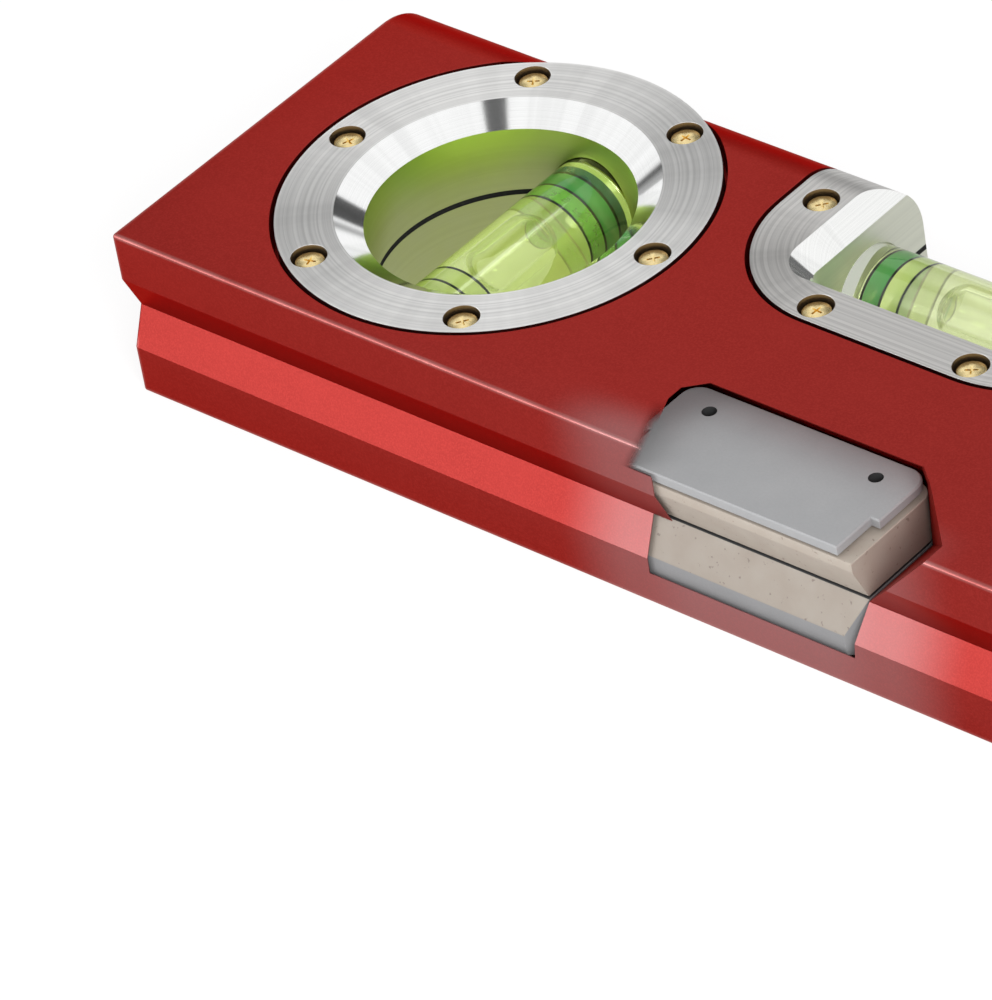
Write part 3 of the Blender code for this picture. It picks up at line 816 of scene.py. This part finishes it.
# Body

def bar_outline(groove, inset):
    """The bar's section in Y and Z with small rounds, drawn inset for the ends' rounding."""
    near, low, high = -HEIGHT / 2 + inset, inset, THICKNESS - inset
    centre, radius = HEIGHT / 2 - TOP_EDGE_RADIUS, TOP_EDGE_RADIUS - inset
    small = EDGE_ROUND
    outline = arc((near + small, low + small), small, 180, 270, ROUND_STEPS)
    outline += arc((centre, TOP_EDGE_RADIUS), radius, 270, 360, EDGE_STEPS)
    outline += arc((centre, THICKNESS - TOP_EDGE_RADIUS), radius, 0, 90, EDGE_STEPS)
    outline += arc((near + small, high - small), small, 90, 180, ROUND_STEPS)
    if groove:
        outline.append((near, THICKNESS - GROOVE_LAND))
        outline.append((near + GROOVE_DEPTH, MID))
        outline.append((near, GROOVE_LAND))
    return outline


def bar_mesh(groove):
    end = LENGTH / 2
    rings = []
    for step in range(ROUND_STEPS + 1):
        angle = math.radians(90 * step / ROUND_STEPS)
        inset = END_ROUND * (1 - math.sin(angle))
        rings.append(along_x(bar_outline(groove, inset), -end + END_ROUND * (1 - math.cos(angle))))
    rings += [[(-x, y, z) for x, y, z in ring] for ring in rings[::-1]]
    return loft("bar", rings)


def round_recess(x):
    pocket, bore = BEZEL_RADIUS + FLANGE_GAP, SLEEVE_RADIUS + SEAT_GAP
    half = [
        (0, MID + OVERRUN),
        (pocket + RIM_CHAMFER + OVERRUN, MID + OVERRUN),
        (pocket, MID - RIM_CHAMFER),
        (pocket, MID - FLOOR_DEPTH),
        (bore, MID - FLOOR_DEPTH),
    ]
    profile = half + [(radius, -height) for radius, height in half[::-1]]
    mesh = turned("round recess", profile)
    mesh.transform(Matrix.Translation((x, ROUND_Y, MID)))
    return mesh


def level_recess():
    def ring(grow, height):
        extra = FLANGE_GAP + grow
        outline = level_outline(LEVEL_HALF_WIDTH + extra, LEVEL_NEAR - extra, LEVEL_CORNER + extra)
        return lift(outline, height)

    face = THICKNESS
    front = loft("level recess front", [
        ring(0, face - FLOOR_DEPTH), ring(0, face - RIM_CHAMFER),
        ring(RIM_CHAMFER + OVERRUN, face + OVERRUN),
    ])
    back = loft("level recess back", [
        ring(RIM_CHAMFER + OVERRUN, -OVERRUN), ring(0, RIM_CHAMFER), ring(0, FLOOR_DEPTH),
    ])
    through = prism("level recess", window_outline(LEVEL_WALL + SEAT_GAP), -OVERRUN, face + OVERRUN)
    return front, back, through


def magnet_plan(half, back, front):
    """From above, anticlockwise: the front points, mirrored, then rounded corners at the back."""
    centre = (half - MAGNET_CORNER, back - MAGNET_CORNER)
    right = arc(centre, MAGNET_CORNER, 0, 90, MAGNET_STEPS)
    left = [(-x, y) for x, y in right[::-1]]
    plan = [*[(-x, y) for x, y in front[::-1]], *front, *right, *left]
    return [(MAGNET_X + x, y) for x, y in plan]


def box_outline(low, high):
    return [(low[0], low[1]), (high[0], low[1]), (high[0], high[1]), (low[0], high[1])]


def pocket_cuts():
    """The magnet's pocket behind a thin skin of the groove's shape, and its mouth through the skin."""
    edge = -HEIGHT / 2
    half, back = MAGNET_HALF_WIDTH + MAGNET_POCKET_GAP, edge + MAGNET_DEPTH + MAGNET_POCKET_GAP
    floor = POLE_FROM_FACE - MAGNET_POCKET_GAP
    roof = THICKNESS - floor
    near = edge + SKIN
    section = [
        (near, floor), (back + OVERRUN, floor), (back + OVERRUN, roof), (near, roof),
        (near, THICKNESS - GROOVE_LAND), (near + GROOVE_DEPTH, MID), (near, GROOVE_LAND),
    ]
    low, high = MAGNET_X - half, MAGNET_X + half
    pocket = loft("pocket", [along_x(section, low - OVERRUN), along_x(section, high + OVERRUN)])
    plan = prism("plan", magnet_plan(half, back, [(half, edge - OVERRUN)]), 0, THICKNESS)
    pocket = carved("pocket", pocket, [("INTERSECT", plan)])
    reach = near + GROOVE_DEPTH + SEAT_GAP
    upper = prism("mouth", box_outline((MOUTH_UPPER_X, edge - OVERRUN), (high, reach)), MID, roof)
    lower = loft("mouth", [[(x, y, z) for x, z in LOWER_MOUTH] for y in (edge - OVERRUN, reach)])
    return pocket, upper, lower


def along_sight(name, outline, low, high):
    """An outline drawn at the plate's top, swept along the line of sight between two heights."""
    plate_top = THICKNESS - POLE_FROM_FACE
    rings = []
    for height in (low, high):
        rise = height - plate_top
        rings.append([(x + SIGHT[0] * rise, y + SIGHT[1] * rise, height) for x, y in outline])
    return loft(name, rings)


def skin_cuts():
    """Cuts through the skin over the magnet, and through what hides its right end."""
    top = THICKNESS + OVERRUN
    skin = along_sight("skin cut", SKIN_CUT, SKIN_CUT_Z, top)
    end = along_sight("end cut", SKIN_CUT, END_CUT_Z, top)
    side = prism("side", box_outline((END_CUT_X, -HEIGHT), (LENGTH / 2, 0)), 0, THICKNESS + HEIGHT)
    return skin, carved("end cut", end, [("INTERSECT", side)])


def shank_holes():
    radius = SHANK_RADIUS + SEAT_GAP
    deep = COUNTERBORE_DEPTH + SEAT_GAP + SHANK_LENGTH + FLANGE_GAP
    profile = [(0, deep), (radius, deep), (radius, -OVERRUN), (0, -OVERRUN)]
    low = spun_holes("shank holes", EVERY_SCREW, profile)
    return joined("shank holes", [low, mirrored(low, MID)])


def build_body():
    cutters = [round_recess(-ROUND_X), round_recess(ROUND_X), *level_recess(), *pocket_cuts()]
    cutters += [*skin_cuts(), shank_holes()]
    steps = [("DIFFERENCE", cutter) for cutter in cutters]
    body = show("body_shell", carved("body_shell", bar_mesh(True), steps, FACET_ANGLE))
    dress(body, [red], "level_frame", "body", ["body"])


# Bezels

def counterbores():
    """Cutters at every screw place for a front bezel, in the row frame: counterbore and shank hole."""
    face, floor = THICKNESS, THICKNESS - COUNTERBORE_DEPTH
    wide, hole = COUNTERBORE_RADIUS, SHANK_RADIUS + SEAT_GAP
    edge = COUNTERBORE_EDGE
    over, under = face + OVERRUN, face - FLANGE_DEPTH - OVERRUN
    profile = [
        (0, over), (wide + edge + OVERRUN, over), (wide, face - edge), (wide, floor), (hole, floor),
        (hole, under), (0, under),
    ]
    return spun_holes("counterbores", EVERY_SCREW, profile)


def vial_matrix(kind):
    """Lays a piece that was turned about Z along its vial."""
    x, y, angle = VIALS[kind]
    return (
        Matrix.Translation((x, y, MID))
        @ Matrix.Rotation(math.radians(angle), 4, "Z")
        @ Matrix.Rotation(math.pi / 2, 4, "Y")
    )


def seat_cutter(kind):
    half, radius = VIAL_LENGTH / 2 + CRADLE_GAP, VIAL_RADIUS + CRADLE_GAP
    mesh = turned("vial seat", [(0, half), (radius, half), (radius, -half), (0, -half)], VIAL_STEPS)
    mesh.transform(vial_matrix(kind))
    return mesh


def round_bezel_mesh():
    foot = GASKET_THICKNESS / 2 + GASKET_GAP
    edge = RIM_CHAMFER
    profile = [
        (BEZEL_RADIUS - edge, MID),
        (BEZEL_RADIUS, MID - edge),
        (BEZEL_RADIUS, MID - FLANGE_DEPTH),
        (SLEEVE_RADIUS, MID - FLANGE_DEPTH),
        (SLEEVE_RADIUS, foot),
        (BORE_RADIUS, foot),
        (BORE_RADIUS, MID - CONE_DEPTH),
        (BORE_RADIUS + CONE_WIDTH, MID),
    ]
    return turned("round bezel", profile, ring=True)


def level_bezel_mesh():
    """The front half, in the row frame, trimmed to the bar's rounded top edge."""
    foot = MID + GASKET_THICKNESS / 2 + GASKET_GAP
    under = THICKNESS - FLANGE_DEPTH
    edge = RIM_CHAMFER

    def flange_ring(shrink, height):
        outline = level_outline(LEVEL_HALF_WIDTH - shrink, LEVEL_NEAR + shrink, LEVEL_CORNER - shrink)
        return lift(outline, height)

    flange = loft("flange", [
        flange_ring(0, under), flange_ring(0, THICKNESS - edge), flange_ring(edge, THICKNESS),
    ])
    sleeve = prism("sleeve", window_outline(LEVEL_WALL), foot, under + FLANGE_DEPTH / 2)
    floor = THICKNESS - LEVEL_CHAMFER_DEPTH
    slope = LEVEL_CHAMFER_WIDTH / LEVEL_CHAMFER_DEPTH
    window = loft("window", [
        lift(window_outline(0), MID - OVERRUN),
        lift(window_outline(0), floor),
        lift(window_outline(LEVEL_CHAMFER_WIDTH + OVERRUN * slope), THICKNESS + OVERRUN),
    ])
    steps = [("UNION", sleeve), ("INTERSECT", bar_mesh(False)), ("DIFFERENCE", window)]
    return carved("level bezel", flange, steps)


def bezel_slot(kind):
    """Which finish a face of a bezel has: 0 the face, 1 the slope, 2 the walls, 3 the counterbores, in
    painted dark shade.
    """
    centre_x, centre_y = (0, 0) if kind == "level" else VIALS[kind][:2]
    places = [(x - centre_x, y - centre_y) for x, y in SCREWS[kind]]
    reach = COUNTERBORE_RADIUS + COUNTERBORE_EDGE / 4

    def choose(polygon):
        x, y, z = polygon.center
        tilt = abs(polygon.normal.z)
        depth = abs(z - MID) if kind == "level" else abs(z)
        if any(math.hypot(x - u, y - v) < reach for u, v in places) and depth < MID - RIM_CHAMFER:
            return 3
        if tilt > FLAT and depth > MID - RIM_CHAMFER:
            return 0
        if kind == "level":
            inside = abs(x) < WINDOW_HALF_WIDTH + LEVEL_CHAMFER_WIDTH
            inside = inside and y > WINDOW_NEAR - LEVEL_CHAMFER_WIDTH
        else:
            inside = math.hypot(x, y) < BORE_RADIUS + CONE_WIDTH
        if inside and SLOPED < tilt < FLAT and depth > MID - LEVEL_CHAMFER_DEPTH:
            return 1
        return 2 if inside else 0
    return choose


def build_bezels():
    cuts = counterbores()
    for kind, (x, y, _) in VIALS.items():
        if kind == "level":
            mesh = level_bezel_mesh()
            centre = Vector((0, 0, 0))
            finishes = [milled_face, polished_level, milled_wall, counterbore_shade]
        else:
            mesh = round_bezel_mesh()
            centre = Vector((x, y, MID))
            finishes = [turned_face, polished, bore_wall_painted_glow, counterbore_shade]
            mesh.transform(Matrix.Translation(centre))
        front = carved(
            f"{kind}_bezel", mesh, [("DIFFERENCE", cuts.copy()), ("DIFFERENCE", seat_cutter(kind))]
        )
        front.transform(Matrix.Translation(-centre))
        back = mirrored(front, MID if kind == "level" else 0)
        for side, made in (("front", front), ("back", back)):
            obj = show(f"{kind}_bezel_ring_{side}", made, at=centre)
            dress(obj, finishes, "level_frame", "bezel", [f"{kind}_bezel_{side}"], bezel_slot(kind))
        build_gasket(kind, centre)


def build_gasket(kind, centre):
    half = GASKET_THICKNESS / 2 + GASKET_GAP * GASKET_SWELL_SHARE
    if kind == "level":
        outer = prism("gasket", window_outline(LEVEL_WALL), MID - half, MID + half)
        inner = window_outline(0)
        inner[0] = (inner[0][0], inner[0][1] + OVERRUN)
        inner[-1] = (inner[-1][0], inner[-1][1] + OVERRUN)
        window = prism("gasket window", inner, MID - OVERRUN, MID + OVERRUN)
        steps = [("INTERSECT", bar_mesh(False)), ("DIFFERENCE", window)]
    else:
        profile = [
            (SLEEVE_RADIUS, half), (SLEEVE_RADIUS, -half), (BORE_RADIUS, -half), (BORE_RADIUS, half),
        ]
        outer = turned("gasket", profile, ring=True)
        outer.transform(Matrix.Translation(centre))
        steps = []
    mesh = carved(f"{kind}_gasket", outer, [*steps, ("DIFFERENCE", seat_cutter(kind))])
    dress(show(f"{kind}_gasket_ring", mesh), [rubber], "level_frame", "gasket", [f"{kind}_gasket"])


# Screws

def screw_mesh():
    """A cheese head screw with a cross recess. Z is zero at the face of its bezel."""
    under = -COUNTERBORE_DEPTH + SEAT_GAP
    top = under + HEAD_HEIGHT
    tip = under - SHANK_LENGTH
    small = HEAD_EDGE * HEAD_EDGE_SHARE
    profile = [
        (0, top), (HEAD_RADIUS - HEAD_EDGE, top), (HEAD_RADIUS - small, top - small),
        (HEAD_RADIUS, top - HEAD_EDGE), (HEAD_RADIUS, under), (SHANK_RADIUS, under),
        (SHANK_RADIUS, tip + SHANK_RADIUS / 3), (SHANK_RADIUS * 2 / 3, tip), (0, tip),
    ]
    upper = box_outline((-RECESS_ARM, -RECESS_WIDTH / 2), (RECESS_ARM, RECESS_WIDTH / 2))
    lower, far = (
        [(u * along, v * across) for u, v in upper]
        for along, across in (RECESS_BOTTOM_SHARES, RECESS_MOUTH_SHARES)
    )
    arms = []
    for turn in (0, 90):
        arm = loft("arm", [
            lift(lower, top - RECESS_DEPTH), lift(upper, top), lift(far, top + RECESS_DEPTH),
        ])
        arm.transform(Matrix.Rotation(math.radians(turn), 4, "Z"))
        arms.append(("DIFFERENCE", arm))
    return carved("screw", turned("screw", profile, HOLE_STEPS), arms, SCREW_ANGLE)


def build_screws():
    mesh = screw_mesh()
    for kind, places in SCREWS.items():
        for side, height, over in (("front", THICKNESS, 0), ("back", 0, math.pi)):
            for number, (x, y) in enumerate(places, 1):
                node = f"{kind}_screw_{side}_{number}"
                turn = math.radians(SCREW_TURNS[0] + SCREW_TURNS[1] * number)
                obj = show(f"{node}_head", mesh.copy(), at=(x, y, height))
                spin = Matrix.Rotation(over, 4, "Y") @ Matrix.Rotation(turn, 4, "Z")
                obj.rotation_euler = spin.to_euler()
                dress(obj, [brass], "level_frame", "screw", [node])


# Vials

def bore_profile(grow):
    half = SPIRIT_LENGTH / 2 + grow
    points = []
    for step in range(BORE_STEPS + 1):
        share = 2 * step / BORE_STEPS - 1
        points.append((SPIRIT_RADIUS - SPIRIT_CROWN * share**2 + grow, half * share))
    return points


# Coloured bands outward from the first line at each end: their share of the pitch, and material
USUAL_BANDS = [(1.0, light_band), (1.0, dark_band)]
# The plumb vial's high end has darker bands than its low end, and a teal band outside: painted shade,
# as a vial is the same at both ends
BANDS = {
    ("plumb", "low"): [(1.0, light_band), (1.0, light_band)],
    ("plumb", "high"): [(1.0, mid_band), (1.0, dark_band), (0.6, outer_shade_band)],
}


def band_mesh(name, centre, width, height):
    low, high = centre - width / 2, centre + width / 2
    inner = SPIRIT_RADIUS + BAND_INSET
    outer = inner + height
    profile = [(outer, high), (outer, low), (inner, low), (inner, high)]
    return turned(name, profile, VIAL_STEPS, ring=True)


def build_clear_pieces(kind):
    """The tube, its plug and the liquid."""
    end, small = VIAL_LENGTH / 2, VIAL_END_ROUND
    bore, fill = bore_profile(0), bore_profile(SPIRIT_OVERLAP)
    seat = SPIRIT_RADIUS - SPIRIT_CROWN + PLUG_SHOULDER
    rim = [(r, end - small + h) for h, r in arc((0, VIAL_RADIUS - small), small, 0, 90, ROUND_STEPS)]
    low_rim = [(r, -h) for r, h in rim[::-1]]
    shoulder = [(seat, bore[-1][1]), (seat, end)]
    tube = [(0, bore[0][1]), *bore, *shoulder, *rim, *low_rim, (0, -end)]
    plug_radius, bottom = seat - PLUG_GAP, SPIRIT_LENGTH / 2 + VIAL_GAP
    plug = [
        (0, end), (plug_radius - small, end), (plug_radius, end - small), (plug_radius, bottom),
        (0, bottom),
    ]
    spirit = [(0, fill[0][1]), *fill, (0, fill[-1][1])]
    fluid, stopper = (pale_liquid, pale_acrylic) if kind == "level" else (liquid, plug_acrylic)
    for part, profile, material in (
        ("tube", tube, acrylic), ("plug", plug, stopper), ("liquid", spirit, fluid),
    ):
        mesh = turned(f"{kind}_{part}", profile, VIAL_STEPS)
        mesh.transform(vial_matrix(kind))
        obj = show(f"{kind}_vial_{part}_clear", mesh)
        dress(obj, [material], "level_frame", f"vial_{part}", [f"{kind}_vial_{part}"])


def build_bubble(kind):
    reach = BUBBLE_LENGTH / 2 - BUBBLE_RADIUS
    upper = [(r, reach + h) for h, r in arc((0, 0), BUBBLE_RADIUS, 0, 90, DOME_STEPS)]
    upper[0] = (0, upper[0][1])
    lower = [(r, -h) for r, h in upper[::-1]]
    bubble = turned(f"{kind}_bubble", upper + lower, BUBBLE_STEPS)
    bubble.transform(vial_matrix(kind) @ Matrix.Translation((-BUBBLE_RISE, 0, 0)))
    bubble.flip_normals()
    obj = show(f"{kind}_vial_bubble_air", bubble)
    dress(obj, [air], f"{kind}_bubble", "vial_bubble", [f"{kind}_vial_bubble"])


def build_markings(kind):
    """The black lines and the coloured bands between them, at both ends of a vial."""
    start = RING_START[kind]
    for side, name in ((-1, "low"), (1, "high")):
        marks = []
        for number in range(3):
            mesh = band_mesh("line", side * (start + RING_PITCH * number), LINE_WIDTH, LINE_HEIGHT)
            marks.append((f"line_{name}_{number + 1}", mesh, black_line))
        for number, (share, material) in enumerate(BANDS.get((kind, name), USUAL_BANDS)):
            width = RING_PITCH * share - LINE_WIDTH - BAND_HEIGHT
            middle = side * (start + RING_PITCH * (number + share / 2))
            mesh = band_mesh("band", middle, width, BAND_HEIGHT)
            marks.append((f"band_{name}_{number + 1}", mesh, material))
        for mark, mesh, material in marks:
            mesh.transform(vial_matrix(kind))
            dress(show(f"{kind}_{mark}", mesh), [material], "level_frame", "vial_tube")


# Magnet

def neighbours(outline):
    """Each corner of a closed outline, between the one before and the one after."""
    count = len(outline)
    for k in range(count):
        yield [Vector(outline[(k + d) % count]) for d in (-1, 0, 1)]


def rounded_outline(points, radius):
    """A closed outline with its corners cut by small arcs, drawn as Bezier turns."""
    outline = []
    for before, here, after in neighbours(points):
        reach = min(radius, (here - before).length / 3, (after - here).length / 3)
        start = here + (before - here).normalized() * reach
        end = here + (after - here).normalized() * reach
        for step in range(BEND_STEPS + 1):
            t = step / BEND_STEPS
            point = start * (1 - t) ** 2 + here * (2 * t * (1 - t)) + end * t**2
            outline.append(tuple(point))
    return outline


def bevelled_plate(name, outline, low, high, edge):
    """A flat plate with rounded corners and small chamfers round both faces."""
    small = []
    for before, here, after in neighbours(outline):
        along = (here - before).normalized() + (after - here).normalized()
        normal = Vector((-along.y, along.x)).normalized()
        small.append(tuple(here + normal * edge))
    return loft(name, [
        lift(small, low), lift(outline, low + edge), lift(outline, high - edge), lift(small, high),
    ])


def build_pole_plate(plan, low, high, under):
    """The top pole plate with its rivet holes, whose insides are painted in shade."""
    plate = bevelled_plate("plate", plan, low, high, MAGNET_EDGE)
    above = high + OVERRUN
    hole = [(0, above), (RIVET_HOLE_RADIUS, above), (RIVET_HOLE_RADIUS, under), (0, under)]
    places = [(MAGNET_X + side * RIVET_HOLE_X, RIVET_HOLE_Y) for side in (-1, 1)]
    mesh = carved("plate", plate, [("DIFFERENCE", spun_holes("holes", places, hole))])

    def in_hole(polygon):
        x, y, _ = polygon.center
        reach = RIVET_HOLE_RADIUS + MAGNET_EDGE / 2
        return int(any(math.hypot(x - u, y - v) < reach for u, v in places))

    obj = show("magnet_top_pole_plate", mesh)
    dress(obj, [pole, painted_shade_steel], "level_frame", "pole", ["magnet_top_pole"], in_hole)


def block_slot(polygon):
    """0 the plating, 1 the underside, painted in shade."""
    return int(polygon.normal.z < -UPRIGHT)


def lower_pole_slot(polygon):
    """0 the steel, 1 the plated facet of the groove, 2 the top, painted in shade."""
    facet = polygon.normal.z > LEANING and polygon.normal.y < -LEANING
    return 2 if polygon.normal.z > UPRIGHT else int(facet)


def build_magnet():
    edge = -HEIGHT / 2
    near, back = edge + MAGNET_SETBACK, edge + MAGNET_DEPTH
    apex, before, behind = near + GROOVE_DEPTH, edge - OVERRUN, back + OVERRUN
    shoulder = edge + PLATE_NOTCH_DEPTH
    neck, half = PLATE_NECK_HALF_WIDTH, MAGNET_HALF_WIDTH
    top = THICKNESS - POLE_FROM_FACE
    plate_low = top - PLATE_THICKNESS
    magnet_top = plate_low - SEAT_GAP
    magnet_low = MID + SEAT_GAP / 2
    lower_top = MID - SEAT_GAP / 2

    front = [(neck, near), (neck, shoulder), (PLATE_HALF_WIDTH, shoulder)]
    build_pole_plate(magnet_plan(PLATE_HALF_WIDTH, back, front), plate_low, top, magnet_top)

    # Each bar's section in Y and Z, the front of its plan, its materials, slot and choice of material
    bars = {
        "magnet_block": (
            [
                (near, magnet_top), (near, THICKNESS - GROOVE_LAND), (apex, magnet_low),
                (behind, magnet_low), (behind, magnet_top),
            ],
            [(half, before)],
            [plating, painted_shade_steel], "magnet", block_slot,
        ),
        "magnet_lower_pole": (
            [
                (apex, lower_top), (near, GROOVE_LAND), (near, POLE_FROM_FACE),
                (behind, POLE_FROM_FACE), (behind, lower_top),
            ],
            [(half - 2 * LOWER_CORNER_WIDTH, apex - 2 * GROOVE_DEPTH), (half, apex)],
            [shaded_low_pole, shaded_low_plating, painted_shade_steel], "pole", lower_pole_slot,
        ),
    }
    reach = half + OVERRUN
    for name, (section, front, materials, slot, choose) in bars.items():
        outline = rounded_outline(section, MAGNET_EDGE)
        bar = loft(name, [along_x(outline, MAGNET_X - reach), along_x(outline, MAGNET_X + reach)])
        low, high = min(z for _, z in section), max(z for _, z in section)
        plan = bevelled_plate("plan", magnet_plan(half, back, front), low, high, MAGNET_EDGE / 2)
        obj = show(f"{name}_bar", carved(name, bar, [("INTERSECT", plan)]))
        dress(obj, materials, "level_frame", slot, [name], choose)


# Studio

def build_floor():
    corners = box_outline((-FLOOR_HALF, -FLOOR_HALF), (FLOOR_HALF, FLOOR_HALF))
    mesh = bpy.data.meshes.new("floor")
    mesh.from_pydata(lift(corners, 0), [], [(0, 1, 2, 3)])
    floor = show("floor", mesh, at=(0, 0, -FLOOR_DROP))
    n = Finish("pale_floor")
    paths = n.node("ShaderNodeLightPath").outputs
    seen = n.math("MAXIMUM", paths["Is Camera Ray"], paths["Is Glossy Ray"])
    seen = n.math("MAXIMUM", seen, paths["Is Transmission Ray"])
    n.surface(Base_Color=colour(0.9, 0.9, 0.9), Roughness=0.8, Specular_IOR_Level=0.1)
    strength = n.minus(1, n.times(paths["Is Glossy Ray"], 1 - FLOOR_IN_METAL))
    glow = n.node("ShaderNodeEmission", {"Color": colour(1, 1, 1), "Strength": strength})
    mixed = n.node("ShaderNodeMixShader")
    n.feed(mixed.inputs[0], n.times(seen, FLOOR_SHOWN))
    n.feed(mixed.inputs[1], n.shader.outputs[0])
    n.feed(mixed.inputs[2], glow.outputs[0])
    n.feed(n.output.inputs["Surface"], mixed.outputs[0])
    mesh.materials.append(n.material)
    floor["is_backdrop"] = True


def build_world():
    world = bpy.data.worlds.new("studio")
    bpy.context.scene.world = world
    world.use_nodes = True
    n = Nodes(world.node_tree)
    where = n.node("ShaderNodeTexCoord").outputs["Generated"]
    side = n.math("ABSOLUTE", n.dot(where, BAND_SIDE))
    reach = n.times(n.dot(where, BAND_AWAY), DARK_REACH)
    dark = n.times(n.step(side, *BAND_HALF_WIDTH), n.step(n.split(where)[2], *DARK_LOW))
    dark = n.times(dark, n.step(n.minus(side, reach), DARK_SOFTNESS, -DARK_SOFTNESS))
    level = n.minus(1, n.times(dark, 1 - DARK_LEVEL))
    for direction, size, strength in PLACES:
        near = math.cos(math.radians(size * (1 - PLACE_SOFTNESS)))
        far = math.cos(math.radians(size * (1 + PLACE_SOFTNESS)))
        spot = n.step(n.dot(where, Vector(direction).normalized()), far, near)
        level = n.times(level, n.plus(1, n.times(spot, strength - 1)))
    background = n.tree.nodes["Background"]
    n.feed(background.inputs["Color"], colour(1, 1, 1))
    n.feed(background.inputs["Strength"], level)


def build_lamp(name, direction, size, power):
    """A soft lamp for the matte surfaces. The metal mirrors only the world."""
    light = bpy.data.lights.new(name, "AREA")
    light.shape = "SQUARE"
    light.size = size
    light.energy = power
    way = Vector(direction).normalized()
    obj = show(name, light, at=way * LAMP_DISTANCE)
    obj.rotation_euler = way.to_track_quat("Z", "Y").to_euler()
    obj.visible_glossy = False


def build_camera():
    azimuth, elevation, roll = map(math.radians, (CAMERA_AZIMUTH, CAMERA_ELEVATION, CAMERA_ROLL))
    back = Vector((
        math.sin(azimuth) * math.cos(elevation), -math.cos(azimuth) * math.cos(elevation),
        math.sin(elevation),
    ))
    level_right = Vector((0, 0, 1)).cross(back).normalized()
    level_up = back.cross(level_right)
    right = level_right * math.cos(roll) + level_up * math.sin(roll)
    up = back.cross(right)
    camera = bpy.data.cameras.new("camera")
    camera.sensor_fit = "VERTICAL"
    camera.sensor_height = SENSOR
    camera.lens = LENS
    camera.clip_start, camera.clip_end = CLIP
    obj = show("camera", camera)
    matrix = Matrix((right, up, back)).transposed().to_4x4()
    matrix.translation = Vector(CAMERA_AIM) + back * CAMERA_DISTANCE
    obj.matrix_world = matrix
    bpy.context.scene.camera = obj


build_body()
build_bezels()
build_screws()
for kind in VIALS:
    build_clear_pieces(kind)
    build_bubble(kind)
    build_markings(kind)
build_magnet()
build_floor()
build_world()
for lamp, values in LAMPS.items():
    build_lamp(lamp, *values)
build_camera()
bpy.context.scene.view_settings.view_transform = "Standard"

boxes = {"cad": cad_box, "visual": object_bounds()}
{name: [list(corner) for corner in box] for name, box in boxes.items()}
